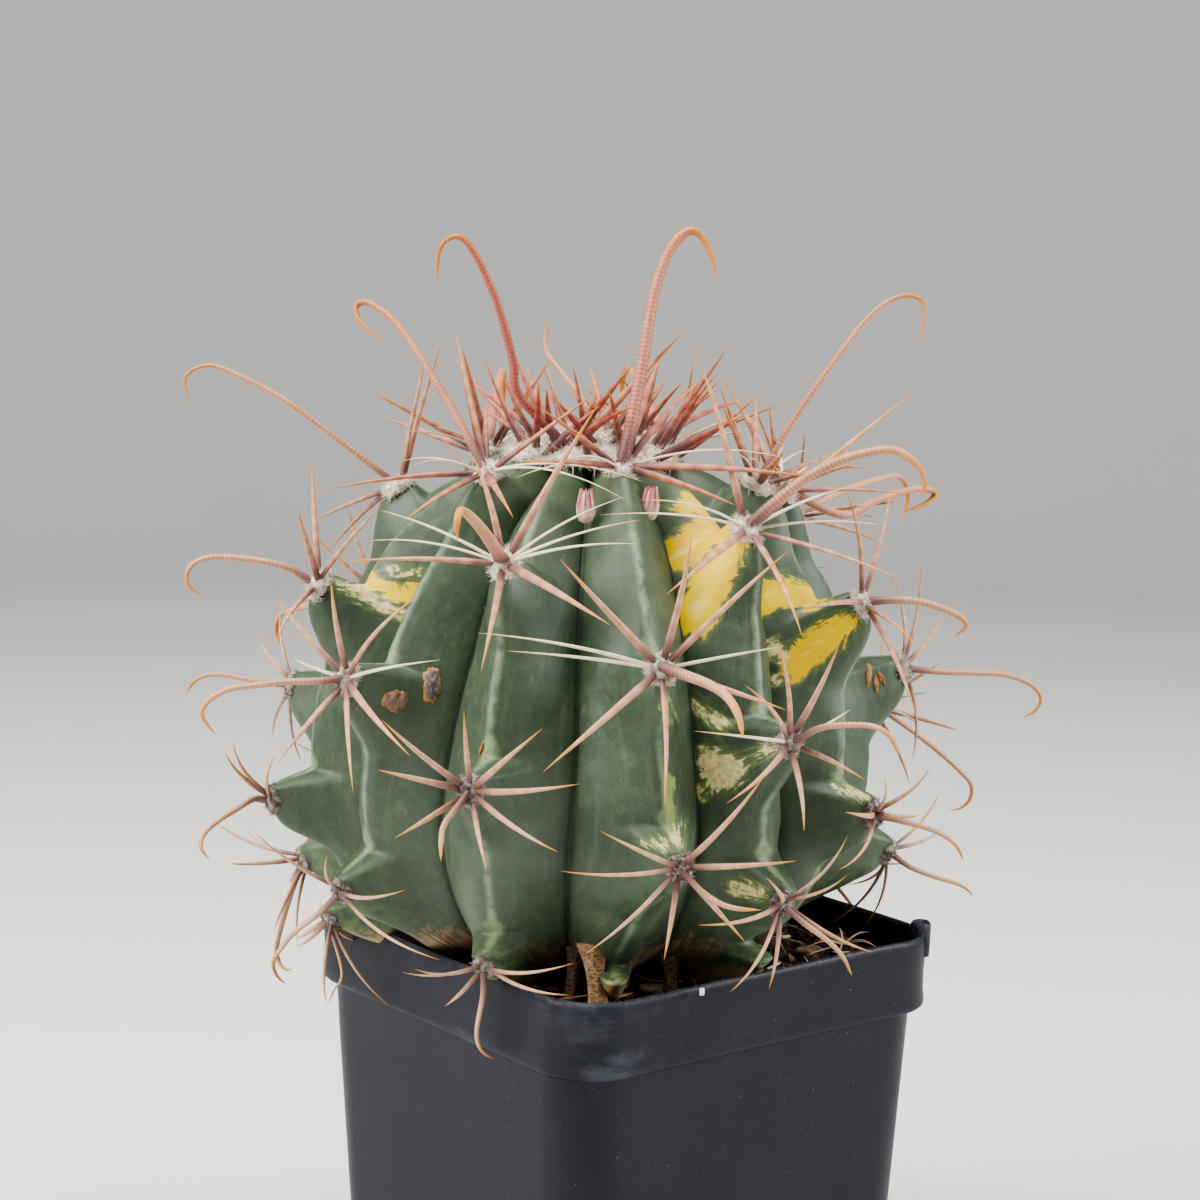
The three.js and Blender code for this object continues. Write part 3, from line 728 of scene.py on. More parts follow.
flat_points = skin_points.reshape(-1, 3)
flat_pixels = pixel_of(flat_points)
flat_rib = skin["rib"].ravel()
flat_across = skin["across"].ravel()
flat_length = skin["length"].ravel()
fields = {kind: np.full(len(flat_points), FAR_OUTSIDE) for kind in ("yellow", "ivory", "olive")}
streak_turn = flat_across / MM / 3
streak_run = flat_length / MM / STREAK_LENGTH
for kind, rib, side, focus, outline in PATCHES:
    flank = (flat_rib == RIB_NAMES.index(rib)) & (flat_across * side > -0.9 * MM)
    inside = inside_outline(flat_pixels[flank], outline) / PIXELS_PER_MM
    fields[kind][flank] = np.maximum(fields[kind][flank], np.clip(inside, FAR_OUTSIDE, DEEP_INSIDE))
    source = pixel_of(AREOLES[focus].origin)[0]
    away = flat_pixels[flank] - source
    far = np.linalg.norm(away, axis=1) / PIXELS_PER_MM
    middle = np.mean(outline, axis=0) - source
    bearing = np.arctan2(away[:, 1], away[:, 0]) - math.atan2(middle[1], middle[0])
    bearing = (bearing + math.pi) % TAU - math.pi
    near = inside > STREAKED_EDGE
    streaked = np.flatnonzero(flank)[near]
    streak_turn[streaked] = bearing[near] / STREAK_ANGLE
    streak_run[streaked] = far[near] / STREAK_LENGTH
for kind, rib, side, middle, off, half_length, half_width in BACK_PATCHES:
    flank = (flat_rib == RIB_NAMES.index(rib)) & (flat_across * side > 0)
    reach = np.hypot((flat_length[flank] / MM - middle) / half_length,
                     (np.abs(flat_across[flank]) / MM - off) / half_width)
    inside = np.clip((1 - reach) * half_width, FAR_OUTSIDE, DEEP_INSIDE)
    fields[kind][flank] = np.maximum(fields[kind][flank], inside)

above_areole = np.zeros(len(flat_points))
for index, rib in enumerate(RIB_NAMES):
    mine = flat_rib == index
    for place in areole_lengths(rib):
        down = (flat_length[mine] - place) / MM
        above_areole[mine] = np.maximum(above_areole[mine], np.clip(1 - np.abs(down + 7.5) / 5, 0, 1))

known = {"streak_turn": streak_turn, "streak_run": streak_run, "across": flat_across / MM,
         "run": flat_length / MM, "nose": skin["nose"], "foot": skin["foot"], "groove": skin["groove"] / MM,
         "notch": above_areole}
for kind, values in fields.items():
    store(body_mesh, kind, np.append(values, [FAR_OUTSIDE, FAR_OUTSIDE]))
for name, values in known.items():
    store(body_mesh, name, np.append(values, [0, 0]))
print("patches:", {kind: int((values > 0).sum()) for kind, values in fields.items()}, "points inside")

# %% [markdown]
# ## The skin's finish
#
# The skin is waxy and matt, dark green with a blue tinge. Faint paler streaks run down it, and each crest has
# a pale line that widens above an areole. The grooves get painted shade: their colour darkens towards each
# crease to stand in for the shade there. The lowest part turns to brown cork where it touches the soil.

# %% Skin material
skin_material, net, place = new_surface("cactus_skin", IOR=1.42)
across, run, nose, foot = (net.field(name) for name in ("across", "run", "nose", "foot"))
height = net.add("ShaderNodeSeparateXYZ", {}, {"Vector": place}, out=2)
streaks = net.noise(net.vector(across * 0.55, run * 0.035), 1.0, 4.0)
cloud = net.noise(place, 70.0, 3.0)
mottle = net.noise(place, 420.0, 4.0, 0.6)
fine_grain = net.noise(place, 900.0, 3.0, 0.6)
pores = net.noise(place, 2600.0, 2.0)

bloom = net.noise(place, 30.0, 3.0).between(0.42, 0.72)
young = 1 - run.between(22, 48)
broken = mottle.between(0.25, 0.6)
crest = (across.size() * -1.0 + 1.5).between(0, 1.4) * (1 - nose) * run.between(25, 50) * broken
notch = (net.field("notch") * 3.2 - across.size()).between(-0.4, 1.6) * run.between(30, 60) * broken
low_nose = nose * run.between(118, 150) * mottle.between(0.3, 0.7)
# painted shade: the colour darkens into each groove, standing in for the shade that falls there
groove_painted_shade = 1 - net.field("groove").between(0.1, 1.1)
specks = net.noise(place, 1500.0, 2.0).between(0.72, 0.78) * cloud.between(0.42, 0.62)
green = net.painted(
    colour(0.034, 0.056, 0.031),
    (cloud.between(0.3, 0.7), colour(0.055, 0.080, 0.047)),
    ((streaks - 0.5).between(-0.02, 0.3) * 0.6, colour(0.085, 0.125, 0.068)),
    (mottle.between(0.40, 0.75) * 0.4, colour(0.085, 0.13, 0.075)),
    (bloom * 0.3, colour(0.115, 0.145, 0.11)),
    (young * 0.5, colour(0.085, 0.135, 0.06)),
    (crest * 0.55, colour(0.24, 0.32, 0.20)),
    (notch * 0.62, colour(0.27, 0.34, 0.17)),
    (low_nose * 0.5, colour(0.20, 0.31, 0.09)),
    (groove_painted_shade * 0.6, colour(0.006, 0.012, 0.007)),
    (specks * 0.7, colour(0.30, 0.38, 0.24)))

streak_place = net.vector(net.field("streak_turn"), net.field("streak_run") * 1.6)
ragged = (net.noise(streak_place, 1.0, 5.0, 0.62) - 0.5) * 6.5 + (fine_grain - 0.5) * 2.2


def patch_mask(kind, feather, shift):
    """1 inside the patches of a kind and 0 outside, with a ragged edge that is as wide as its feather."""
    return (net.field(kind) + ragged + shift).between(-feather, feather)


halo = (patch_mask("yellow", 1.3, 1.3) * 0.55).most(patch_mask("ivory", 1.2, 0.8) * 0.5)
hot = (net.field("yellow") + ragged * 0.5).between(1.5, 3.0)
yellow = net.painted(colour(0.70, 0.44, 0.001), (cloud.between(0.35, 0.65), colour(0.80, 0.56, 0.008)),
                     (hot * 0.5, colour(0.88, 0.76, 0.22)))
ivory = net.blend(fine_grain.between(0.35, 0.6), colour(0.46, 0.42, 0.17), colour(0.68, 0.58, 0.31))

cork_edge = RIM_TOP + 6 * MM - height + (mottle - 0.5) * 0.010 + (fine_grain - 0.5) * 0.006
cork = cork_edge.between(-0.0012, 0.0035) * (1 - (nose * 1.6 + foot * 1.5).least(1.0))
tip_edge = RIM_TOP + 0.2 * MM - height + (mottle - 0.5) * 0.006
tips = tip_edge.between(-0.001, 0.002) * nose.most(foot)
cork_fibres = net.noise(net.vector(across * 1.4, run * 0.12, across), 1.0)
bark = net.blend(cork_fibres.between(0.3, 0.7), colour(0.12, 0.068, 0.034), colour(0.42, 0.275, 0.155))
skin_colour = net.painted(
    green,
    (halo, colour(0.19, 0.26, 0.075)),
    (patch_mask("olive", 0.6, 0.3) * 0.75, colour(0.33, 0.40, 0.12)),
    (patch_mask("yellow", 0.45, 0.55), yellow),
    (patch_mask("ivory", 0.45, -0.1), ivory),
    (tips * 0.85, colour(0.50, 0.36, 0.17)),
    (cork, bark))
rough = 0.46 + (mottle - 0.5) * 0.25 + cork * 0.3
relief = mottle * 0.35 + pores * 0.15 + cork * cork_fibres * 1.6 + streaks * 0.2
join_up(net, Base_Color=skin_colour, Roughness=rough, Normal=bumped(net, relief, 0.25 * MM, 0.8))
body_mesh.materials.append(skin_material)
print("skin material:", len(net.tree.nodes), "nodes")


def finished(piece, slot, *nodes):
    """Keeps a piece with the one body of the frame, in place of the frame's plain pieces."""
    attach(piece, "root")
    if nodes:
        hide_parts(*nodes)


# %% [markdown]
# Old wounds in the skin have healed as corky scabs: a round one and an upright one left of the middle, both
# grey with a rusty rim, and an orange scar on the right. Each is a thin raised crust laid over the skin,
# since a coloured spot would stay flat from the side.

# %% Scabs and a scar
SCABS = [
    # centre in pixels, half width and half height in mm, tilt in degrees, how rusty
    ((395, 701), 2.7, 2.6, 10, 0.25), ((432, 685), 2.0, 4.0, -4, 0.0), ((869, 674), 0.75, 2.9, -8, 1.0),
    ((876, 684), 0.65, 2.0, 6, 1.0), ((881, 678), 0.6, 1.7, 30, 1.0), ((482, 748), 0.5, 1.4, -15, 1.0),
]
CRUST_RINGS = 7
CRUST_SIDES = 36
CRUST_HEIGHT = 0.5 * MM
CRUST_SUNK = 0.12 * MM
CRUST_DEPTH = 1.2 * MM
CAST_HEIGHT = 4 * MM
FIRST_SCAB_SEED = 70

scab_material, net, place = new_surface("corky_scab", Roughness=0.85)
rim, rust = net.field("rim"), net.field("rust")
flake = net.noise(net.stretched(place, (900, 900, 500)), 1.0, 4.0, 0.65)
grey = net.blend(flake.between(0.3, 0.7), colour(0.05, 0.042, 0.036), colour(0.25, 0.215, 0.19))
rusty = net.blend(flake.between(0.3, 0.7), colour(0.22, 0.085, 0.022), colour(0.50, 0.25, 0.09))
outer = (rim + (flake - 0.5) * 0.35).between(0.66, 0.86)
join_up(net, Base_Color=net.blend(outer.most(rust), grey, rusty), Normal=bumped(net, flake, 0.5 * MM))

skin_tree = BVHTree.FromPolygons([v.co for v in body_mesh.vertices], [p.vertices for p in body_mesh.polygons])


def crust(name, pixel, half_width, half_height, tilt, rusty, seed):
    """A thin lumpy crust that follows the skin under it."""
    place, normal, _, _ = skin_tree.ray_cast(Vector(EYE), Vector(sight_line(pixel)))
    place, normal = np.array(place), np.array(normal)
    across = np.cross(SKY, normal)
    across /= np.linalg.norm(across)
    upright = np.cross(normal, across)
    share = np.arange(1, CRUST_RINGS + 1)[:, None] / CRUST_RINGS
    angle = np.arange(CRUST_SIDES)[None] / CRUST_SIDES * TAU
    circle = np.stack([np.cos(angle), np.sin(angle), np.zeros_like(angle)], axis=-1)
    ragged = 1 + 0.13 * waves(circle, 1.1, seed) + 0.09 * waves(circle, 0.35, seed + 1)
    x = share * ragged * np.cos(angle) * half_width * MM
    y = share * ragged * np.sin(angle) * half_height * MM
    tilt = math.radians(tilt)
    x, y = x * math.cos(tilt) - y * math.sin(tilt), x * math.sin(tilt) + y * math.cos(tilt)
    above = place + normal * CAST_HEIGHT + x[..., None] * across + y[..., None] * upright
    lumps = CRUST_HEIGHT * (1 - share ** 5) * (0.8 + 0.35 * waves(above, 1.6 * MM, seed + 2))
    lumps -= CRUST_SUNK * share ** 8
    points = np.empty_like(above)
    for index in np.ndindex(above.shape[:2]):
        seat = skin_tree.ray_cast(Vector(above[index]), Vector(-normal))[0] or Vector(place)
        points[index] = np.array(seat) + normal * lumps[index]
    middle = points[0].mean(axis=0)
    mesh = grid_mesh(name, points, middle, middle - normal * CRUST_DEPTH)
    store(mesh, "rim", np.append((share * np.ones_like(angle)).ravel(), [0, 1]))
    store(mesh, "rust", np.full(len(mesh.vertices), rusty))
    mesh.materials.append(scab_material)
    return show(name, mesh)


scabs = [crust(f"scab_{i}", *scab, FIRST_SCAB_SEED + 3 * i) for i, scab in enumerate(SCABS)]
print("scabs:", len(scabs))
body = joined("cactus_skin", body, *scabs)
finished(body, "skin", "cactus_body")

# %% [markdown]
# ## Spines
#
# Each areole bears one flat, ringed spine that ends in a hook, a few stout straight spines round it, and thin
# pale bristles at its sides. All are the same kind of thing, a path swept by a flattened ring that tapers. So
# each is written as a path with a thickness at each point, and one Geometry Nodes tree sweeps them all.

# %% Node tree that sweeps the paths
RING_SIDES = 8
FLATNESS = 0.66


def new_node_group(name, **inputs):
    """A Geometry Nodes group with named inputs: the group, its net, and the inputs as flows."""
    group = bpy.data.node_groups.new(name, "GeometryNodeTree")
    group.interface.new_socket("Geometry", in_out="OUTPUT", socket_type="NodeSocketGeometry")
    group.interface.new_socket("Geometry", in_out="INPUT", socket_type="NodeSocketGeometry")
    group.interface.new_socket("Material", in_out="INPUT", socket_type="NodeSocketMaterial")
    for key, default in inputs.items():
        kind = "NodeSocketInt" if isinstance(default, int) else "NodeSocketFloat"
        group.interface.new_socket(key, in_out="INPUT", socket_type=kind).default_value = default
    net = Net(group)
    start = group.nodes.new("NodeGroupInput")
    return group, net, {socket.name: Flow(net, socket) for socket in start.outputs}


def solid(net, geometry):
    """Copies made real, because a plain mesh can't hold copies."""
    return net.add("GeometryNodeRealizeInstances", {}, {"Geometry": geometry})


def coated(net, geometry, material):
    return net.add("GeometryNodeSetMaterial", {}, {"Geometry": geometry, "Material": material})


def together(net, *shapes):
    both = net.tree.nodes.new("GeometryNodeJoinGeometry")
    for shape in shapes:
        net.tree.links.new(shape.socket, both.inputs[0])
    return Flow(net, both.outputs[0])


def put_out(net, geometry):
    """Ends a node group with the geometry that it gives."""
    net.tree.links.new(geometry.socket, net.tree.nodes.new("NodeGroupOutput").inputs["Geometry"])


def named(net, name, data_type="FLOAT"):
    return net.add("GeometryNodeInputNamedAttribute", {"data_type": data_type}, {"Name": name})


def sweep_tree():
    """Turns edge paths into flattened, tapering rods. Thickness and flat side come from the points."""
    group, net, given = new_node_group("sweep_spines", Flatness=FLATNESS, Sides=RING_SIDES)
    paths = net.add("GeometryNodeMeshToCurve", {}, {"Mesh": given["Geometry"]})
    paths = net.add("GeometryNodeSetCurveNormal", {"mode": "FREE"},
                    {"Curve": paths, "Normal": named(net, "side", "FLOAT_VECTOR")})
    ring = net.add("GeometryNodeCurvePrimitiveCircle", {}, {"Resolution": given["Sides"], "Radius": 1.0})
    ring = net.add("GeometryNodeTransform", {},
                   {"Geometry": ring, "Scale": net.vector(1.0, given["Flatness"], 1.0)})
    rods = net.add("GeometryNodeCurveToMesh", {},
                   {"Curve": paths, "Profile Curve": ring, "Scale": named(net, "thick"), "Fill Caps": True})
    rods = net.add("GeometryNodeSetShadeSmooth", {}, {"Geometry": rods})
    put_out(net, coated(net, solid(net, rods), given["Material"]))
    return group


def grown(piece, group, **values):
    """Runs a node tree on a piece and keeps the result as a plain mesh."""
    modifier = piece.modifiers.new("grow", "NODES")
    modifier.node_group = group
    for item in group.interface.items_tree:
        if item.in_out == "INPUT" and item.name in values:
            modifier[item.identifier] = values[item.name]
    state = bpy.context.evaluated_depsgraph_get()
    mesh = bpy.data.meshes.new_from_object(piece.evaluated_get(state), preserve_all_data_layers=True,
                                           depsgraph=state)
    piece.modifiers.clear()
    piece.data = mesh
    return piece


SWEEP = sweep_tree()
print("tree:", SWEEP.name, "with", len(SWEEP.nodes), "nodes")

# %% [markdown]
# ## The spines' finish
#
# A young spine is red with pale rings. It fades to pinkish tan, grey at the foot and amber at the tip. The
# bristles are cream. Each point knows how far it is along its spine, the kind of spine and its age, and the
# rings are real ridges, so the material only has to colour them.

# %% Spine material
spine_material, net, place = new_surface("spine", IOR=1.5)
share, reach, ring, bristle, youth, age = (
    net.field(name) for name in ("share", "reach", "ring", "bristle", "youth", "age"))
fibre = net.noise(place, 380.0, 3.0)
patchy = net.noise(place, 110.0, 2.0)
red = net.blend(ring * 0.35, colour(0.30, 0.028, 0.022), colour(0.54, 0.19, 0.115))
cream = net.blend(share.between(0.5, 1.0), colour(0.80, 0.70, 0.53), colour(0.74, 0.53, 0.22))
foot = (1 - (reach - youth * 4).between(1.2, 8.5)) * (1 - bristle)
spine_colour = net.painted(
    colour(0.36, 0.125, 0.082),
    (share.between(0.15, 0.85), colour(0.50, 0.215, 0.06)),
    (patchy.between(0.3, 0.7) * 0.5, colour(0.52, 0.27, 0.15)),
    (ring * 0.5 * (1 - share.between(0.72, 0.95)), colour(0.72, 0.44, 0.32)),
    (youth * 0.8, red),
    (age * 0.6, colour(0.60, 0.40, 0.235)),
    (share.between(0.68, 1.0) * 0.9, colour(0.56, 0.22, 0.012)),
    (foot * 0.85, colour(0.115, 0.05, 0.052)),
    (bristle * 0.9, cream),
    (fibre.between(0.35, 0.8) * 0.22, colour(0.20, 0.10, 0.07)))
join_up(net, Base_Color=spine_colour, Roughness=0.42 + fibre * 0.2,
        Normal=bumped(net, fibre + ring * 0.4, 0.12 * MM, 0.7))
print("spine material:", len(net.tree.nodes), "nodes")

# %% [markdown]
# ## Paths of the spines
#
# A straight spine is a slightly bowed dagger, thickest near its foot. A hooked spine runs out, turns over
# through most of a half circle and ends in a point. The spines that the camera sees are placed by where their
# tips show in the photograph's frame: a tip lies on the camera's line through that pixel, at the lift and
# length that such a spine has. The hidden ones follow the usual clock of the plant.

# %% Functions for the paths
STRAIGHT_TAPER = ([0, 0.06, 0.2, 0.55, 0.85, 1], [0.78, 0.98, 1, 0.72, 0.32, 0.03])
HOOK_TAPER = ([0, 0.03, 0.12, 0.5, 0.78, 0.93, 1], [1.1, 1.12, 1.0, 0.86, 0.74, 0.4, 0.04])
RIDGE = 0.045
RING_SPACING = 0.46 * MM
STRAIGHT_STOPS = 16
MARKS = ("bristle", "youth", "age")


class Spine:
    """A path with its thickness, the direction of its flat side, and what its material needs to know."""

    def __init__(self, points, radius, side, **marks):
        self.points = np.asarray(points)
        self.radius = np.asarray(radius)
        self.side = side / np.linalg.norm(side)
        self.marks = marks


def smooth_path(stops, spacing):
    """A rounded path through stops, as evenly spaced points."""
    stops = np.asarray(stops, float)
    padded = np.vstack([2 * stops[0] - stops[1], stops, 2 * stops[-1] - stops[-2]])
    fine = []
    for a, b, c, d in zip(padded, padded[1:], padded[2:], padded[3:]):
        for s in np.linspace(0, 1, 24, endpoint=False):
            fine.append(0.5 * (2 * b + (c - a) * s + (2 * a - 5 * b + 4 * c - d) * s ** 2
                               + (3 * b - a - 3 * c + d) * s ** 3))
    fine = np.array(fine + [stops[-1]])
    for _ in range(10):
        fine[1:-1] = 0.5 * fine[1:-1] + 0.25 * (fine[2:] + fine[:-2])
    gone = np.concatenate([[0], np.cumsum(np.linalg.norm(np.diff(fine, axis=0), axis=1))])
    places = np.linspace(0, gone[-1], max(6, int(gone[-1] / spacing)))
    return np.stack([np.interp(places, gone, fine[:, i]) for i in range(3)], axis=1)


def hooked_spine(points, side, width, youth, age):
    """A spine along given points, with ring-shaped ridges."""
    share = np.linspace(0, 1, len(points))
    ridge = 1 + RIDGE * np.where(np.arange(len(points)) % 2, 1, -1)
    radius = width / 2 * np.interp(share, *HOOK_TAPER) * ridge
    return Spine(points, radius, side, bristle=0.0, youth=youth, age=age)


def straight_spine(foot, tip, width, bow, bristle, youth, age):
    """A dagger from foot to tip whose middle stands off by the vector bow."""
    share = np.linspace(0, 1, STRAIGHT_STOPS)
    points = foot + share[:, None] * (tip - foot) + 4 * (share * (1 - share))[:, None] * bow
    side = np.cross(tip - foot, bow + np.array([1e-5, 0, 1e-5]))
    return Spine(points, width / 2 * np.interp(share, *STRAIGHT_TAPER), side,
                 bristle=bristle, youth=youth, age=age)


def tip_on_line(pixel, areole, lift, reach):
    """The point on a pixel's line of sight with about the given lift and distance from an areole."""
    line = sight_line(pixel)
    nearest = (areole.origin - EYE) @ line
    points = EYE + (nearest + np.linspace(-45, 45, 181) * MM)[:, None] * line
    away = points - areole.origin
    far = np.linalg.norm(away, axis=1)
    rise = np.degrees(np.arcsin(np.clip(away @ areole.out / far, -1, 1)))
    return points[np.argmin(((rise - lift) / 11) ** 2 + ((far - reach) / (6 * MM)) ** 2)]


def path_in_plane(pixels, foot, apex, apex_index):
    """Points of a hooked spine on their lines of sight, in the plane through foot and apex that faces us."""
    line = sight_line(pixels[apex_index])
    apex = EYE + ((apex - EYE) @ line) * line
    along = apex - foot
    normal = np.cross(along, np.cross(line, along))
    normal /= np.linalg.norm(normal)
    stops = [foot]
    for pixel in pixels:
        line = sight_line(pixel)
        stops.append(EYE + ((foot - EYE) @ normal) / (line @ normal) * line)
    return np.array(stops), normal


def paths_mesh(name, spines):
    """All spines as edges, with their marks stored on the points."""
    places = np.concatenate([spine.points for spine in spines])
    edges = []
    columns = {key: [] for key in ("share", "reach", "ring", "thick", *MARKS)}
    sides = []
    first = 0
    for spine in spines:
        count = len(spine.points)
        edges += [(first + i, first + i + 1) for i in range(count - 1)]
        first += count
        gone = np.concatenate([[0], np.cumsum(np.linalg.norm(np.diff(spine.points, axis=0), axis=1))])
        columns["share"].append(gone / gone[-1])
        columns["reach"].append(gone / MM)
        columns["ring"].append(np.arange(count) % 2)
        columns["thick"].append(spine.radius)
        for key in MARKS:
            columns[key].append(np.full(count, spine.marks[key]))
        sides.append(np.tile(spine.side, (count, 1)))
    mesh = bpy.data.meshes.new(name)
    mesh.from_pydata(places.tolist(), edges, [])
    for key, values in columns.items():
        store(mesh, key, np.concatenate(values))
    store(mesh, "side", np.concatenate(sides), "FLOAT_VECTOR")
    return mesh


def swept(name, spines):
    """Spines made into a mesh by the node tree."""
    return grown(show(name, paths_mesh(name, spines)), SWEEP, Material=spine_material)


print("tapers:", len(STRAIGHT_TAPER[0]), "stops on a straight spine,", len(HOOK_TAPER[0]), "on a hook")

# %% [markdown]
# ## Felt
#
# The spines stand in a pad of felt: a low dome with fine hairs all over it. It is cream and woolly on young
# areoles, and worn, short and grey-brown on old ones. A second tree scatters the hairs over a dome. Each hair
# is a thin cone with three sides, since there are thousands of them.

# %% Node tree that scatters hairs
def hair_tree():
    """Scatters leaning hairs over a surface and keeps the surface under them."""
    group, net, given = new_node_group("scatter_hairs", Density=4e6, Length=1.6 * MM, Radius=0.06 * MM,
                                       Lean=0.8, Seed=1)
    points = net.add("GeometryNodeDistributePointsOnFaces", {},
                     {"Mesh": given["Geometry"], "Density": given["Density"], "Seed": given["Seed"]})
    turned = Flow(net, points.socket.node.outputs["Rotation"])
    hair = net.add("GeometryNodeMeshCone", {"fill_type": "NONE"},
                   {"Vertices": 3, "Side Segments": 1, "Radius Top": 0.0, "Radius Bottom": given["Radius"],
                    "Depth": given["Length"]})
    lean = given["Lean"]
    tilt = net.add("FunctionNodeRandomValue", {"data_type": "FLOAT_VECTOR"},
                   {"Min": net.vector(lean * -1, lean * -1, -3.1), "Max": net.vector(lean, lean, 3.1),
                    "Seed": given["Seed"]})
    size = net.add("FunctionNodeRandomValue", {"data_type": "FLOAT"},
                   {"Min": 0.5, "Max": 1.3, "Seed": given["Seed"]}, out=1)
    turned = net.add("FunctionNodeRotateRotation", {"rotation_space": "LOCAL"},
                     {"Rotation": turned, "Rotate By": tilt})
    hairs = net.add("GeometryNodeInstanceOnPoints", {},
                    {"Points": points, "Instance": hair, "Rotation": turned, "Scale": size})
    put_out(net, coated(net, together(net, solid(net, hairs), given["Geometry"]), given["Material"]))
    return group


HAIRS = hair_tree()
print("tree:", HAIRS.name, "with", len(HAIRS.nodes), "nodes")

felt_material, net, place = new_surface("areole_felt", Roughness=0.95)
clumps = net.noise(place, 700.0, 3.0)
age = net.field("age")
wool = net.blend(clumps.between(0.3, 0.65), colour(0.50, 0.40, 0.30), colour(0.86, 0.80, 0.70))
worn = net.blend(clumps.between(0.35, 0.7), colour(0.085, 0.06, 0.055), colour(0.42, 0.36, 0.32))
join_up(net, Base_Color=net.blend(age.between(0.15, 0.75), wool, worn),
        Normal=bumped(net, clumps, 0.5 * MM))

DOME_RINGS = 7
DOME_SIDES = 20
DOME_SUNK = 1.2 * MM


def felt_dome(name, origin, across, upright, out, half_width, half_height, thickness, age, seed):
    """A lumpy dome with a flat underside, a little sunk in the skin."""
    share = np.linspace(1 / DOME_RINGS, 1, DOME_RINGS)[:, None]
    angle = np.arange(DOME_SIDES)[None] / DOME_SIDES * TAU
    x, y = half_width * share * np.cos(angle), half_height * share * np.sin(angle)
    z = thickness * np.sqrt(np.maximum(1 - share ** 2, 0)) * np.ones_like(angle)
    local = np.stack([x, y, z], axis=-1)
    local[..., :2] *= 1 + 0.12 * waves(local, half_width, seed)[..., None]
    local[..., 2] *= 1 + 0.25 * waves(local, half_width * 0.6, seed + 1)
    local = np.concatenate([local, local[-1:] * [1, 1, 0] - [0, 0, DOME_SUNK]])
    points = origin + local @ np.stack([across, upright, out])
    mesh = grid_mesh(name, points, origin + out * thickness, origin - out * DOME_SUNK)
    store(mesh, "age", np.full(len(mesh.vertices), age))
    return mesh


# %% [markdown]
# ## What the camera sees of each areole
#
# For each areole these are the tips of its straight spines, the tips of its bristles and the course of its
# hooked spine from the foot on, all in pixels of the photograph's frame.

# %% Tips and hooks in pixels
STRAIGHT_TIPS = {
    "a1": [(473, 455), (597, 406), (345, 562), (610, 625), (481, 671)],
    "a2": [(464, 711), (382, 720), (378, 770), (542, 729), (579, 784), (395, 838), (487, 871), (558, 852)],
    "a3": [(402, 972), (415, 969), (574, 963), (569, 995), (445, 1006)],
    "b1": [(540, 408), (662, 352), (700, 380), (806, 476), (735, 505), (520, 462)],
    "b2": [(560, 559), (692, 535), (788, 551), (543, 772), (664, 805), (786, 710)],
    "b3": [(600, 831), (560, 871), (796, 861), (765, 775), (585, 954), (664, 960), (745, 942)],
    "c1": [(710, 383), (693, 345), (916, 391), (910, 584), (667, 594), (802, 636)],
    "c2": [(745, 685), (777, 637), (840, 642), (727, 803), (804, 831), (865, 780)],
    "c3": [(766, 877), (848, 835), (847, 875), (698, 925), (730, 992), (769, 989), (873, 952)],
    "d2": [(846, 490), (892, 480), (802, 609), (914, 643), (917, 719)],
    "d3": [(884, 778), (930, 767), (845, 812), (839, 870), (919, 815)],
    "e2": [(891, 574), (921, 563), (943, 612), (912, 760)],
    "e3": [(940, 791), (943, 825), (863, 928), (828, 925), (847, 885)],
    "k1": [(443, 339), (429, 348), (310, 523), (327, 554)],
    "k2": [(258, 636), (283, 598), (273, 736), (302, 763)],
    "l1": [(312, 461), (298, 510), (383, 504), (276, 642)],
    "l2": [(233, 742), (224, 749), (276, 754)],
    "l3": [(298, 939), (296, 945), (345, 914), (388, 940), (327, 1005), (388, 1005)],
    "m1": [(456, 333), (487, 398), (325, 490), (597, 392), (403, 522), (513, 517)],
    "m2": [(275, 598), (331, 577), (421, 594), (278, 763), (353, 791), (410, 756)],
    "m3": [(327, 856), (252, 829), (405, 890), (440, 960)],
}
BRISTLE_TIPS = {
    "a1": [(379, 510), (367, 541), (640, 520), (640, 544), (626, 496)],
    "b1": [(516, 478), (560, 462), (797, 462)],
    "b2": [(507, 651), (478, 633), (786, 646)],
    "c1": [(600, 515), (640, 500), (885, 526), (850, 487)],
    "c2": [(694, 731), (851, 709)],
    "k1": [(441, 500)],
    "m1": [(411, 467), (400, 462), (644, 482), (625, 500)],
    "m2": [(440, 660), (293, 658)],
}
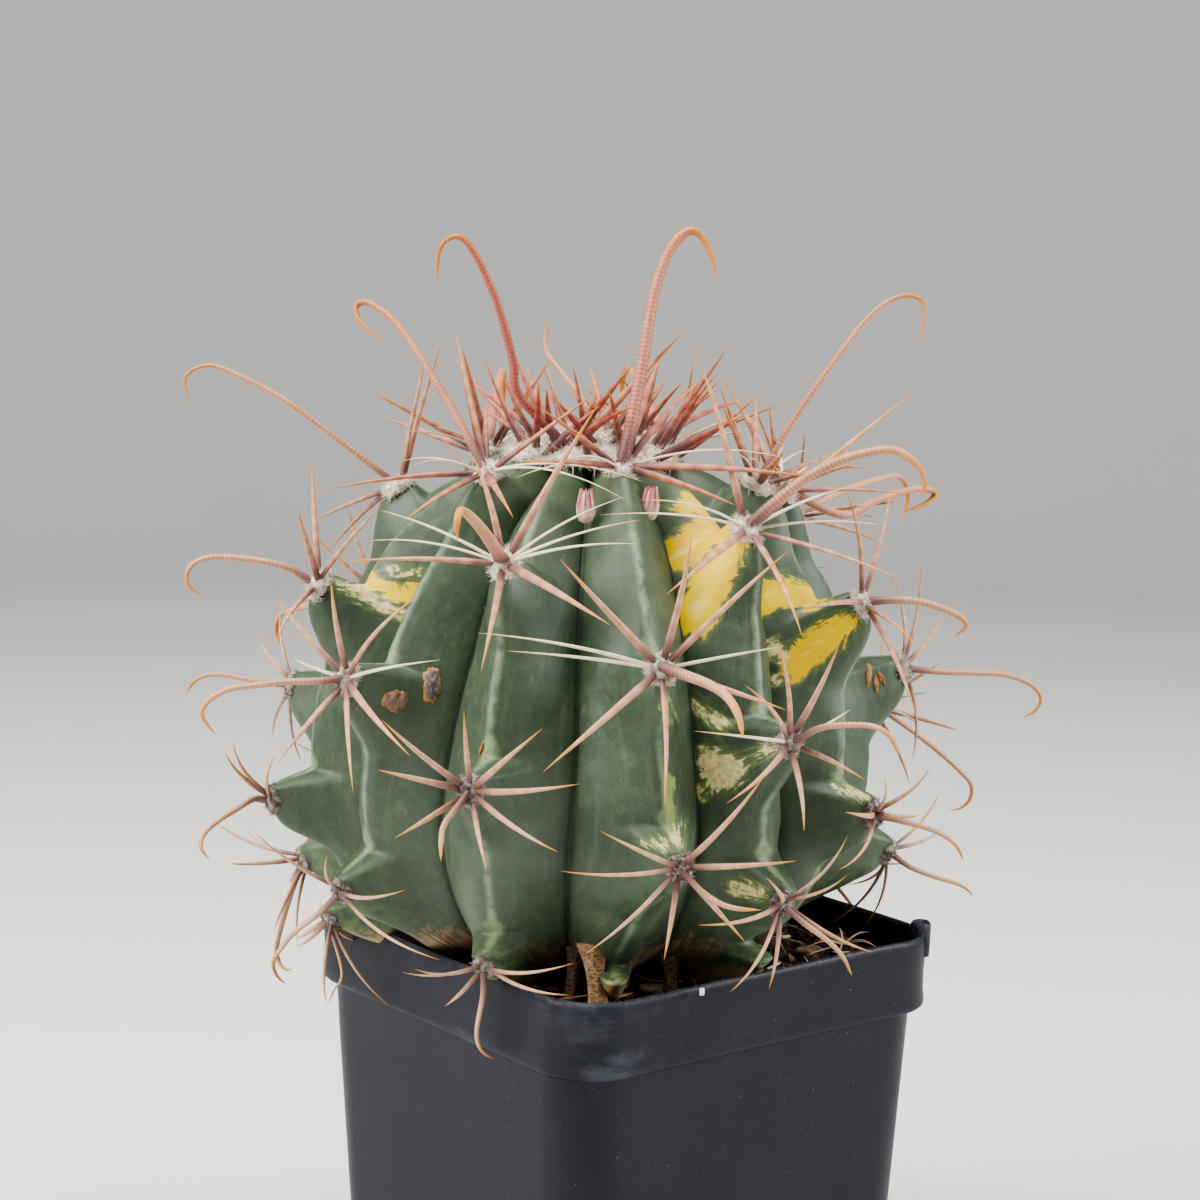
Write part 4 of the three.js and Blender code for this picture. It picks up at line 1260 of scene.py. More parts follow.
HOOKS = {
    "a2": [(458, 806), (444, 825), (441, 843), (441, 861)],
    "a3": [(483, 995), (480, 1012), (477, 1030), (478, 1043), (484, 1053), (494, 1059)],
    "b1": [(630, 430), (641, 372), (654, 296), (669, 252), (689, 231), (706, 242), (718, 278)],
    "b2": [(690, 677), (712, 686), (728, 698), (738, 715), (743, 738)],
    "b3": [(700, 890), (721, 904), (740, 909), (761, 910)],
    "c1": [(769, 507), (806, 478), (841, 460), (875, 451), (898, 451), (919, 467), (925, 485), (917, 501)],
    "c2": [(820, 728), (855, 725), (878, 728), (893, 740), (899, 758)],
    "c3": [(805, 924), (828, 941), (843, 957), (852, 976)],
    "d1": [(792, 422), (838, 356), (872, 314), (902, 296), (925, 305), (918, 345)],
    "d2": [(896, 600), (921, 602), (944, 609), (962, 618), (966, 627), (955, 636)],
    "d3": [(905, 822), (935, 831), (955, 844), (964, 861)],
    "e1": [(841, 515), (875, 501), (910, 490), (931, 490), (934, 497), (921, 506), (901, 512)],
    "e2": [(940, 672), (975, 673), (1005, 675), (1030, 684), (1041, 697), (1036, 710), (1022, 718)],
    "e3": [(910, 867), (935, 877), (958, 884), (970, 892), (972, 898)],
    "k1": [(337, 439), (281, 398), (226, 370), (203, 366), (185, 378), (191, 404)],
    "k2": [(270, 683), (246, 679), (225, 675), (208, 675), (195, 681), (186, 693)],
    "l1": [(281, 565), (225, 557), (200, 560), (188, 570), (188, 585), (202, 596)],
    "h1": [(598, 425), (583, 400), (560, 370), (548, 355), (545, 337), (550, 318)],
    "l3": [(342, 972), (334, 990), (328, 1004)],
    "l2": [(254, 799), (237, 809), (218, 821), (204, 834), (201, 848), (210, 860)],
    "m1": [(452, 409), (405, 334), (373, 305), (357, 305), (360, 321), (386, 345)],
    "m2": [(320, 681), (285, 682), (250, 686), (227, 690), (208, 701), (202, 716), (217, 736)],
    "m3": [(318, 914), (295, 932), (280, 950), (273, 963), (277, 976), (287, 985)],
}
AIMED_HOOKS = {"a1": ((464, 499), 33, 3.0)}
HOOK_WIDTHS = {"l3": 1.1, "b1": 4.1, "c1": 3.2, "m1": 2.7, "a1": 2.9, "b2": 3.2, "e1": 2.9, "d2": 2.6,
               "k1": 2.1, "d1": 2.2}
print("tips:", sum(len(tips) for tips in (*STRAIGHT_TIPS.values(), *BRISTLE_TIPS.values())), "and",
      len(HOOKS) + len(AIMED_HOOKS), "hooks")

# %% Functions that plant the spines of one areole
USUAL_CLOCKS = (-42, 8, 50, -112, 118, 172)
BRISTLE_CLOCKS = (-78, -95, 80, 97)
FOOT_OFF_CENTRE = 1.5 * MM
FOOT_LIFT = 0.5 * MM
HOOK_FOOT_LIFT = 0.8 * MM
HOOK_RADII_MM = (5.5, 3.6)
# lift from the skin in degrees, then the length in mm on a young and on an old areole
STRAIGHT_REACH = (30, 26, 21)
BRISTLE_REACH = (16, 25, 20)


def drooping_hook(areole, foot, way, length, radius):
    """A hook that runs out one way and turns over downwards."""
    way = way / np.linalg.norm(way)
    droop = np.array([0, 0, -1]) + way * way[2]
    if np.linalg.norm(droop) < 0.2:
        droop = areole.out - way * (areole.out @ way)
    droop /= np.linalg.norm(droop)
    total = length + 2.7 * radius
    gone = np.linspace(0, total, int(total / RING_SPACING))
    turn = 0.2 * np.minimum(1, gone / length) ** 2 + np.maximum(0, gone - length) / radius
    step = gone[1]
    along = np.concatenate([[0], np.cumsum(step * np.cos(turn[:-1]))])
    fall = np.concatenate([[0], np.cumsum(step * np.sin(turn[:-1]))])
    return foot + along[:, None] * way + fall[:, None] * droop, np.cross(way, droop)


def hook_of(name, areole, clock, lift, length):
    """The hooked spine of an areole: through its pixels if they are known, or by rule."""
    foot = areole.origin + areole.out * HOOK_FOOT_LIFT
    radius = mix(*HOOK_RADII_MM, areole.age) * MM
    points, side = drooping_hook(areole, foot, areole.direction(clock, lift), length * MM, radius)
    if name in AIMED_HOOKS:
        pixel, shaft, turning = AIMED_HOOKS[name]
        line = sight_line(pixel)
        nearest = EYE + ((foot - EYE) @ line) * line
        back = math.sqrt((shaft * MM) ** 2 - np.linalg.norm(nearest - foot) ** 2)
        points, side = drooping_hook(areole, foot, nearest - line * back - foot, shaft * MM, turning * MM)
    if name in HOOKS:
        pixels = HOOKS[name]
        shown = pixel_of(points)
        far = np.linalg.norm(shown - shown[0], axis=1)
        apex_index = int(np.argmax(np.linalg.norm(np.array(pixels) - np.array(pixels[0]), axis=1)))
        apex = points[np.argmax(far)]
        stops, side = path_in_plane(pixels, foot, apex, apex_index)
        points = smooth_path(stops, RING_SPACING)
    return points, side


def feet_towards(areole, tip):
    """A foot on the pad's edge on the side of the tip."""
    way = tip - areole.origin
    flat = way - areole.out * (way @ areole.out)
    flat /= np.linalg.norm(flat) + 1e-9
    return areole.origin + flat * FOOT_OFF_CENTRE + areole.out * FOOT_LIFT


def areole_spines(name, areole, hook, chance):
    """All spines of one areole."""
    youth = float(1 - smoothstep(22 * MM, 48 * MM, areole.length)) * 0.6
    width = HOOK_WIDTHS.get(name, mix(2.5, 1.8, areole.age)) * MM
    points, side = hook_of(name, areole, *hook)
    spines = [hooked_spine(points, side, width, youth, areole.age)]
    tips = []
    for shown, bristle, (lift, young, old) in ((STRAIGHT_TIPS, 0.0, STRAIGHT_REACH),
                                               (BRISTLE_TIPS, 1.0, BRISTLE_REACH)):
        for pixel in shown.get(name, []):
            tips.append((tip_on_line(pixel, areole, lift, mix(young, old, areole.age) * MM), bristle))
    if not tips:
        by_rule = [(clock, chance.uniform(22, 42), 27, 0.0) for clock in USUAL_CLOCKS]
        by_rule += [(clock, chance.uniform(8, 20), 24, 1.0) for clock in BRISTLE_CLOCKS if areole.age < 0.75]
        for clock, lift, length, bristle in by_rule:
            way = areole.direction(clock + chance.uniform(-8, 8), lift)
            length *= mix(1, 0.75, areole.age) * chance.uniform(0.82, 1.1) * MM
            tips.append((areole.origin + way * length, bristle))
    for tip, bristle in tips:
        reach = np.linalg.norm(tip - areole.origin)
        stout = (0.75 if bristle else mix(1.7, 1.15, areole.age)) * chance.uniform(0.9, 1.12) * MM
        bend = 0.07 if bristle else mix(0.02, 0.075, areole.age)
        bow = reach * (areole.out * bend + chance.normal(size=3) * 0.012)
        spines.append(straight_spine(feet_towards(areole, tip), tip, stout, bow, bristle, youth, areole.age))
    return spines


print("straight spines by rule:", len(USUAL_CLOCKS), "and", len(BRISTLE_CLOCKS), "bristles")

# %% Every cluster of spines with its felt
FELT_HALF_WIDTH = 2.9 * MM
FELT_HALF_HEIGHT = 3.7 * MM
FELT_THICKNESS_MM = (1.8, 1.3)
HAIR_LENGTHS_MM = (1.45, 1.0)
chance = np.random.default_rng(21)
triangles = 0
for rib, (turn, areoles) in RIBS.items():
    for number, (_, _, clock, lift, length) in enumerate(areoles, 1):
        name = f"{rib}{number}"
        areole = AREOLES[name]
        size = mix(1, 0.8, areole.age)
        spines = swept(f"spines_{name}", areole_spines(name, areole, (clock, lift, length), chance))
        dome = felt_dome(f"felt_{name}", areole.origin, areole.round, areole.up, areole.out,
                         FELT_HALF_WIDTH * size, FELT_HALF_HEIGHT * size,
                         mix(*FELT_THICKNESS_MM, areole.age) * MM, areole.age, 10 + len(bpy.data.objects))
        felt = grown(show(f"felt_{name}", dome), HAIRS, Density=mix(6e6, 4.5e6, areole.age),
                     Length=mix(*HAIR_LENGTHS_MM, areole.age) * MM, Radius=0.085 * MM, Lean=1.25,
                     Seed=number + 7, Material=felt_material)
        cluster = joined(f"areole_{name}", spines, felt)
        triangles += sum(len(face.vertices) - 2 for face in cluster.data.polygons)
        finished(cluster, "spine", f"spine_cluster_{name}")
print("clusters:", len(AREOLES), "with", triangles, "triangles")

# %% [markdown]
# ## The crown
#
# New areoles form in the growing point, so the crown is a cushion of pale wool packed with young spines. They
# are the reddest on the plant. The cushion is one large dome with long hairs. The spines stand in it by the
# golden angle, upright in the middle and leaning outwards at its edge. One long hook stands among them.

# %% Wool, young spines and the crown's own hook
CROWN_SPINES = 36
GOLDEN_ANGLE = math.radians(137.508)
CROWN_RADIUS = 17.5 * MM
CROWN_HEIGHT = 4.6 * MM
CROWN_SUNK = 1.6 * MM
CROWN_SPREAD = 15.5
CROWN_HOOK_TURN = -24
CROWN_HOOK_FOOT = 12.5
CROWN_HOOK_LIFT = math.radians(72)
CROWN_HOOK_LENGTH = 50 * MM
CROWN_HOOK_WIDTH = 3.0 * MM
CROWN_HOOK = [(519, 395), (513, 361), (496, 300), (474, 252), (457, 236), (440, 248), (437, 282)]
CROWN_TIPS = [
    # a tip in pixels, and the turn from the front and distance from the crown's middle of its foot in mm
    ((485, 359), -75, 15), ((635, 361), -30, 12), ((600, 406), -40, 16), ((684, 331), -20, 14),
    ((702, 376), 60, 15), ((760, 393), 75, 17), ((745, 415), 45, 17), ((666, 380), 10, 12),
    ((502, 372), -60, 13), ((590, 402), -20, 10), ((718, 372), 70, 13), ((640, 392), 30, 15),
]

crown_centre = skin_point(np.array(0.0), np.array(0.0), 3.4 * MM)


def crown_foot(turn, distance):
    """A point in the wool at a turn from the front, in degrees, and a distance from its middle in mm."""
    angle = math.radians(FRONT + turn)
    share = distance * MM / CROWN_RADIUS
    rise = CROWN_HEIGHT * math.sqrt(max(0, 1 - share ** 2)) - CROWN_SUNK
    way = np.array([math.cos(angle), math.sin(angle), 0])
    return crown_centre + way * distance * MM + SKY * rise, way


chance = np.random.default_rng(5)
crown_spines = []
for i in range(CROWN_SPINES):
    share = math.sqrt((i + 1.5) / (CROWN_SPINES + 1))
    foot, way = crown_foot(math.degrees(i * GOLDEN_ANGLE), share * CROWN_SPREAD)
    lean = math.radians(14 + 44 * share + chance.uniform(-22, 20))
    sway = np.cross(SKY, way) * chance.uniform(-1.2, 1.2)
    heading = way * math.sin(lean) + SKY * math.cos(lean) + sway
    heading /= np.linalg.norm(heading)
    length = mix(12, 27, share) * chance.uniform(0.6, 1.25) * MM
    stout = mix(1.3, 2.1, share) * chance.uniform(0.8, 1.1) * MM
    bow = SKY * length * 0.04 * share + chance.normal(size=3) * length * 0.02
    crown_spines.append(straight_spine(foot, foot + heading * length, stout, bow, 0.0,
                                       chance.uniform(0.5, 1.25), 0.0))
for pixel, turn, distance in CROWN_TIPS:
    foot, way = crown_foot(turn, distance)
    line = sight_line(pixel)
    tip = EYE + ((foot + way * 6 * MM - EYE) @ line) * line
    crown_spines.append(straight_spine(foot, tip, 1.9 * MM, chance.normal(size=3) * 0.5 * MM, 0.0,
                                       chance.uniform(0.3, 1.1), 0.0))
foot, way = crown_foot(CROWN_HOOK_TURN, CROWN_HOOK_FOOT)
apex = foot + (way * math.cos(CROWN_HOOK_LIFT) + SKY * math.sin(CROWN_HOOK_LIFT)) * CROWN_HOOK_LENGTH
stops, side = path_in_plane(CROWN_HOOK, foot, apex, int(np.argmin([y for x, y in CROWN_HOOK])))
crown_spines.append(hooked_spine(smooth_path(stops, RING_SPACING), side, CROWN_HOOK_WIDTH, 1.0, 0.0))
crown = swept("crown_spines", crown_spines)
wool_mesh = felt_dome("crown_wool", crown_centre, EAST, NORTH, SKY, CROWN_RADIUS, CROWN_RADIUS, CROWN_HEIGHT,
                      0.12, 77)
wool = grown(show("crown_wool", wool_mesh), HAIRS, Density=2.6e6, Length=2.6 * MM, Radius=0.09 * MM, Lean=1.3,
             Seed=3, Material=felt_material)
crown = joined("crown", crown, wool)
finished(crown, "young_spine", "crown_spines")
print("crown:", len(crown_spines), "spines,", len(crown.data.polygons), "faces")

# %% [markdown]
# ## Dried flowers
#
# Two old flowers are left at the front of the crown. Each is a papery tube, closed at its foot, whose petals
# have dried into cream and pink pleats with magenta ribs. A pleated tube shows this better than a bud shape.

# %% Flower remains
FLOWER_SIDES = 48
FLOWER_PLEATS = 8
FLOWER_RADIUS = 1.75 * MM
FLOWER_LEAN = 1.2 * MM
FLOWER_LIFT = 4.0 * MM
FLOWER_SHIFTS = {"left": 2.2 * MM, "right": -2.2 * MM}
HEIGHT_SHARE = 0.6
LEVEL_RIGHT = RIGHT * [1, 1, 0]
FLOWER_PROFILE = [(0.25, 0), (0.75, 0.06), (1.0, 0.25), (1.0, 0.5), (0.86, 0.72), (0.72, 0.88), (0.62, 1.0),
                  (0.5, 0.97), (0.3, 0.8), (0.1, 0.7)]

flower_material, net, place = new_surface("dry_petals", Roughness=0.8)
pleat, along = net.field("pleat"), net.field("along")
speckle = net.noise(place, 900.0, 3.0)
stripe = pleat.between(0.35, 0.85) * along.between(0.3, 0.6)
petal = net.painted(
    colour(0.66, 0.42, 0.33),
    (speckle.between(0.3, 0.7), colour(0.85, 0.70, 0.55)),
    (stripe * 0.9, colour(0.42, 0.02, 0.10)),
    ((1 - along.between(0.0, 0.3)) * 0.6, colour(0.50, 0.36, 0.22)))
join_up(net, Base_Color=petal, Normal=bumped(net, speckle, 0.4 * MM))


def flower_remains(side, low, high, seed):
    """A pleated papery tube between the corners of the frame's plain bud."""
    middle = (np.array(low) + np.array(high)) / 2 + LEVEL_RIGHT * FLOWER_SHIFTS[side]
    height = (high[2] - low[2]) * HEIGHT_SHARE
    angle = np.arange(FLOWER_SIDES)[None] / FLOWER_SIDES * TAU
    share = np.array([r for r, _ in FLOWER_PROFILE])[::-1, None]
    along = np.array([z for _, z in FLOWER_PROFILE])[::-1, None]
    folds = np.cos(angle * FLOWER_PLEATS + 0.7 * np.sin(angle * 3 + seed))
    radius = FLOWER_RADIUS * share * (1 + 0.17 * folds * np.clip(along * 2, 0, 1))
    lean = (middle - [PLANT_X, PLANT_Y, 0])[:2]
    lean /= np.linalg.norm(lean)
    x = middle[0] + radius * np.cos(angle) + lean[0] * along * FLOWER_LEAN
    y = middle[1] + radius * np.sin(angle) + lean[1] * along * FLOWER_LEAN
    ragged = 0.06 * np.sin(angle * FLOWER_PLEATS + 1 + seed) * (along > 0.85)
    z = low[2] + FLOWER_LIFT + height * (along + ragged)
    points = np.stack([x, y, np.broadcast_to(z, x.shape)], axis=-1)
    name = f"dry_flower_{side}"
    mesh = grid_mesh(name, points, points[0].mean(axis=0), points[-1].mean(axis=0) - [0, 0, 0.3 * MM])
    store(mesh, "pleat", np.append((folds * np.ones_like(share) * 0.5 + 0.5).ravel(), [0, 0]))
    store(mesh, "along", np.append((along * np.ones_like(angle)).ravel(), [0.7, 0]))
    mesh.materials.append(flower_material)
    return show(name, mesh)


for seed, side in enumerate(("left", "right")):
    low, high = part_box(f"flower_remains_{side}")
    flower = flower_remains(side, low, high, seed)
    finished(flower, "dry_flower", f"flower_remains_{side}")
print("flowers:", len(FLOWER_SHIFTS))

# %% [markdown]
# ## Soil and litter
#
# Dark potting soil fills the pot to a little under the rim. Its surface is lumpy, and crumbs of every size
# lie on it. A mesh of the surface alone looks like cloth, so a node tree strews it with thousands of crumbs.
# Fallen spines lie on top, and so does a fallen areole behind the front corner, with its spines curled up.

# %% The lumpy surface
CORNER_STEPS = 12
EDGE_STEPS = 16
SOIL_RINGS = 46
SOIL_LEVEL = RIM_TOP - 7.5 * MM
SOIL_HALF = 48.2 * MM
SOIL_CORNER = 10.2 * MM
SOIL_FOOT = 2.4 * MM
# size and height of the rings under the surface, where the soil lies against the pot
SOIL_SIDES = [(1.0, RIM_TOP - 15.5 * MM), (0.955, RIM_TOP - 17.5 * MM), (0.885, 3 * MM), (0.6, SOIL_FOOT)]


def rounded_square(half, corner):
    """Points round a square with rounded corners, anticlockwise, with as many points for every size."""
    points = []
    for quarter in range(4):
        turn = quarter * TAU / 4
        middle = np.array([half - corner, half - corner])
        for i in range(CORNER_STEPS + 1):
            bend = i / CORNER_STEPS * TAU / 4
            points.append((turn, middle + corner * np.array([math.cos(bend), math.sin(bend)])))
        for i in range(1, EDGE_STEPS + 1):
            share = i / (EDGE_STEPS + 1)
            points.append((turn, np.array([mix(half - corner, corner - half, share), half])))
    flat = []
    for turn, (x, y) in points:
        flat.append((x * math.cos(turn) - y * math.sin(turn), x * math.sin(turn) + y * math.cos(turn)))
    return np.array(flat)


def soil_height(x, y):
    """The soil's height, with low mounds and dips."""
    x, y = x / MM, y / MM
    mounds = np.sin(0.31 * x + 1) * np.cos(0.27 * y) + 0.6 * np.sin(0.73 * x - 0.61 * y)
    return SOIL_LEVEL + 0.9 * MM * mounds


soil_edge = rounded_square(SOIL_HALF, SOIL_CORNER)
rings = []
for i in range(1, SOIL_RINGS + 1):
    flat = soil_edge * i / SOIL_RINGS
    level = soil_height(flat[:, 0], flat[:, 1])
    on_floor = np.column_stack([flat, np.zeros(len(flat))])
    lumps = 0.7 * waves(on_floor, 7 * MM, 31) + 0.4 * waves(on_floor, 2.6 * MM, 32)
    rings.append(np.column_stack([flat, level + lumps * MM]))
for size, z in SOIL_SIDES:
    rings.append(np.column_stack([soil_edge * size, np.full(len(soil_edge), z)]))
soil_points = np.array(rings)
soil_top = np.array([0, 0, soil_points[0, :, 2].mean()])
soil_mesh = grid_mesh("soil", soil_points, soil_top, np.array([0, 0, SOIL_FOOT]))

soil_material, net, place = new_surface("potting_soil", Roughness=0.95)
crumb = net.noise(place, 260.0, 5.0, 0.7)
tone = net.noise(place, 90.0, 2.0)
earth = net.painted(colour(0.012, 0.008, 0.006), (crumb.between(0.3, 0.7), colour(0.085, 0.050, 0.030)),
                    (tone.between(0.55, 0.8) * 0.5, colour(0.15, 0.095, 0.055)))
join_up(net, Base_Color=earth, Normal=bumped(net, crumb, 1.2 * MM))
soil_mesh.materials.append(soil_material)

crumb_material, net, place = new_surface("soil_crumbs", Roughness=0.9)
tone = net.noise(place, 120.0, 1.0)
grain = net.noise(place, 900.0, 3.0)
crumb_colour = net.painted(
    colour(0.022, 0.014, 0.010),
    (tone.between(0.40, 0.62), colour(0.13, 0.072, 0.038)),
    (tone.between(0.62, 0.72), colour(0.34, 0.24, 0.15)),
    (grain.between(0.3, 0.8) * 0.4, colour(0.02, 0.012, 0.008)))
join_up(net, Base_Color=crumb_colour, Normal=bumped(net, grain, 0.4 * MM))
print("soil surface:", len(soil_mesh.polygons), "faces")

# %% Node tree that strews crumbs
CRUMB_SHAPES = ((1.0, 0.8, 0.62), (1.5, 0.7, 0.5), (0.8, 0.75, 0.7))


def crumb_tree():
    """Strews three shapes of crumb over a surface, each with its own size and turn."""
    group, net, given = new_node_group("strew_crumbs", Density=1.2e6, Smallest=0.35 * MM, Largest=1.5 * MM,
                                       Seed=4)
    points = net.add("GeometryNodeDistributePointsOnFaces", {},
                     {"Mesh": given["Geometry"], "Density": given["Density"], "Seed": given["Seed"],
                      "Selection": named(net, "strewn")})
    shapes = net.tree.nodes.new("GeometryNodeGeometryToInstance")
    for stretch in CRUMB_SHAPES:
        crumb = net.add("GeometryNodeMeshIcoSphere", {}, {"Radius": 1.0, "Subdivisions": 1})
        crumb = net.add("GeometryNodeTransform", {}, {"Geometry": crumb, "Scale": stretch})
        net.tree.links.new(crumb.socket, shapes.inputs[0])
    share = net.add("FunctionNodeRandomValue", {"data_type": "FLOAT"}, {"Seed": given["Seed"]}, out=1)
    size = given["Smallest"] + (given["Largest"] - given["Smallest"]) * (share ** 3.0)
    turn = net.add("FunctionNodeRandomValue", {"data_type": "FLOAT_VECTOR"},
                   {"Max": (TAU, TAU, TAU), "Seed": given["Seed"]})
    crumbs = net.add("GeometryNodeInstanceOnPoints", {},
                     {"Points": points, "Instance": Flow(net, shapes.outputs[0]), "Pick Instance": True,
                      "Rotation": turn, "Scale": size})
    crumbs = coated(net, solid(net, crumbs), given["Material"])
    put_out(net, together(net, crumbs, given["Geometry"]))
    return group


CRUMBS = crumb_tree()
print("tree:", CRUMBS.name, "with", len(CRUMBS.nodes), "nodes")

# %% Crumbs, fallen spines and a fallen areole
LITTER_COUNT = 64
LITTER_HALF = 44
LITTER_END = 46 * MM
PLANT_CLEAR = 36 * MM
FALLEN_AREOLE = (38 * MM, -30 * MM)
FALLEN_SPINES = 8


def litter_tips(count, seed):
    """Fallen spines and fibres that lie on the soil at random between the plant and the pot."""
    chance = np.random.default_rng(seed)
    lying = []
    while len(lying) < count:
        x, y = chance.uniform(-LITTER_HALF, LITTER_HALF, 2) * MM
        if math.hypot(x - PLANT_X, y - PLANT_Y) < PLANT_CLEAR:
            continue
        turn = chance.uniform(0, TAU)
        length = chance.uniform(5, 17) * MM
        ends = np.array([[x, y], [x + length * math.cos(turn), y + length * math.sin(turn)]])
        if np.abs(ends).max() > LITTER_END:
            continue
        foot, tip = (np.array([*end, soil_height(*end) + chance.uniform(0.9, 2.2) * MM]) for end in ends)
        bow = chance.normal(size=3) * length * [0.07, 0.07, 0.02]
        lying.append(straight_spine(foot, tip, chance.uniform(0.45, 0.9) * MM, bow, chance.uniform(0.2, 0.9),
                                    0.0, 1.0))
    return lying


radius_from_plant = np.hypot(soil_points[..., 0] - PLANT_X, soil_points[..., 1] - PLANT_Y)
inside_wall = np.abs(soil_points[..., :2]).max(axis=-1) < 45.5 * MM
open_soil = (radius_from_plant > 33 * MM) & (soil_points[..., 2] > RIM_TOP - 12 * MM) & inside_wall
store(soil_mesh, "strewn", np.append(open_soil.ravel(), [False, False]))
soil = grown(show("soil", soil_mesh), CRUMBS, Density=7.5e5, Smallest=0.35 * MM, Largest=2.1 * MM,
             Material=crumb_material)

chance = np.random.default_rng(8)
fallen_place = np.array([*FALLEN_AREOLE, soil_height(*FALLEN_AREOLE) + 1.6 * MM])
fallen = []
for i in range(FALLEN_SPINES):
    turn = i / FALLEN_SPINES * TAU + chance.uniform(-0.3, 0.3)
    way = np.array([math.cos(turn), math.sin(turn), chance.uniform(-0.05, 0.28)])
    length = chance.uniform(6, 10.5) * MM
    fallen.append(straight_spine(fallen_place, fallen_place + way * length, 0.6 * MM,
                                 SKY * length * 0.16, 0.7, 0.0, 0.9))
litter = swept("litter", litter_tips(LITTER_COUNT, 12) + fallen)
soil = joined("potting_soil", soil, litter)
finished(soil, "soil", "potting_soil")
print("soil:", len(soil.data.polygons), "faces")

# %% [markdown]
# ## Bark chips
#
# Four larger bits of bark lie between the plant and the pot. Each is a flat, splintered flake. A plain ball
# is squeezed towards a block, and waves of two sizes make its outline ragged.

# %% Chips
CHIP_RINGS = 14
CHIP_SIDES = 28
CHIP_BLUNTNESS = 0.62
CHIP_LIFT = 0.3 * MM

bark_material, net, place = new_surface("bark_chip", Roughness=0.9)
grain = net.noise(net.stretched(place, (900, 900, 2500)), 1.0, 4.0)
layers = net.noise(place, 240.0, 2.0)
chip_colour = net.painted(colour(0.11, 0.052, 0.026), (grain.between(0.3, 0.7), colour(0.40, 0.24, 0.13)),
                          (layers.between(0.5, 0.8) * 0.6, colour(0.50, 0.36, 0.24)))
join_up(net, Base_Color=chip_colour, Normal=bumped(net, grain, 0.3 * MM))

for number in (1, 2, 3, 4):
    low, high = (np.array(corner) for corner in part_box(f"bark_chip_{number}"))
    half = (high - low) / 2
    rise = (np.arange(CHIP_RINGS)[:, None] + 0.5) / CHIP_RINGS * math.pi
    angle = np.arange(CHIP_SIDES)[None] / CHIP_SIDES * TAU
    ball = np.stack([np.sin(rise) * np.cos(angle), np.sin(rise) * np.sin(angle),
                     np.cos(rise) * np.ones_like(angle)], axis=-1)
    ball = np.sign(ball) * np.abs(ball) ** CHIP_BLUNTNESS
    ball *= (1 + 0.16 * waves(ball, 0.9, 50 + number) + 0.07 * waves(ball, 0.3, 60 + number))[..., None]
    centre = (low + high) / 2
    points = centre + ball * half * [0.96, 0.96, 0.8] + SKY * CHIP_LIFT
    chip_mesh = grid_mesh(f"bark_{number}", points, points[0].mean(axis=0), points[-1].mean(axis=0))
    chip_mesh.materials.append(bark_material)
    finished(show(f"bark_{number}", chip_mesh), "bark", f"bark_chip_{number}")
print("bark: 4 chips")

# %% [markdown]
# Tan, woody strands run from the plant's underside into the soil at its front. Each is a flattened, fluted
# column that widens at both ends, since a plain cylinder would look like a peg.

# %% Woody strands under the plant
STRANDS = [
    # the pixel where it leaves the plant, then its lean sideways and outwards and its half width, in mm
    ((590, 946), 1.5, 3.0, 2.1), ((572, 948), -1.5, 2.0, 1.4), ((668, 956), 1.0, 2.0, 1.7),
]
STRAND_ROWS = 14
STRAND_SIDES = 20
STRAND_FLATNESS = 0.6
STRAND_SUNK = 1 * MM
out = -FORWARD * [1, 1, 0]
share = np.linspace(0, 1, STRAND_ROWS)[:, None]
angle = np.arange(STRAND_SIDES)[None] / STRAND_SIDES * TAU
strands = []
for i, (pixel, sideways, outwards, half_width) in enumerate(STRANDS):
    top, normal, _, _ = skin_tree.ray_cast(Vector(EYE), Vector(sight_line(pixel)))
    top = np.array(top) - np.array(normal) * STRAND_SUNK
    low = top + RIGHT * sideways * MM + out * outwards * MM
    low[2] = soil_height(low[0], low[1]) - STRAND_SUNK
    width = half_width * MM * (0.75 + 0.7 * (2 * share - 1) ** 2)
    fluted = width * (1 + 0.16 * np.sin(angle * 5 + i + share * 2) + 0.10 * np.sin(angle * 9 + 2 * i))
    middle = top + (low - top) * share + out * np.sin(share * math.pi) * 0.8 * MM
    points = (middle[:, None] + RIGHT * (fluted * np.cos(angle))[..., None]
              + out * (STRAND_FLATNESS * fluted * np.sin(angle))[..., None])
    mesh = grid_mesh(f"strand_{i}", points, points[0].mean(axis=0), points[-1].mean(axis=0))
    mesh.materials.append(bark_material)
    strands.append(show(f"strand_{i}", mesh))
finished(joined("woody_strands", *strands), "bark")
print("strands:", len(STRANDS))

# %% [markdown]
# ## The pot
#
# A thin square nursery pot, blown or pressed from black plastic. Its rim is a band that stands out from the
# wall, slightly wavy because the plastic is thin, and dulled by handling. The wall is lofted from rounded
# squares, inside and out, so that it has its real thickness. The drain holes are cut with a Boolean.

# %% Wall, rim and floor
POT_PROFILE_MM = [
    # half width and height, from the middle of the floor inside, over the lip, to the underside
    (20, 1.8), (41.2, 1.8), (42.3, 2.6), (42.6, 4), (44.5, 40), (46.3, 77.2), (46.6, 78.6), (48.3, 79.8),
    (48.5, 81), (48.5, 93.4), (48.65, 94.4), (48.95, 94.85), (49.3, 95.0), (49.65, 94.8), (49.9, 94.3),
    (50.0, 93.3), (50.05, 91), (49.95, 87), (50.0, 83), (50.15, 80.6), (50.05, 79.6), (49.6, 79.1),
    (48.6, 78.9), (48.05, 78.6), (47.9, 77.8), (47.3, 66), (45.9, 38), (44.6, 12), (44.1, 2.4), (43.8, 1.0),
    (43.2, 0.3), (42.4, 0.0), (20, 0.0),
]
DRAIN_OFFSET = 27 * MM
DRAIN_RADIUS = 5 * MM
DRILL_SIDES = 40
DRILL_LENGTH = 12 * MM
BAND_FOOT_MM = 79
RIM_TOP_MM = 95

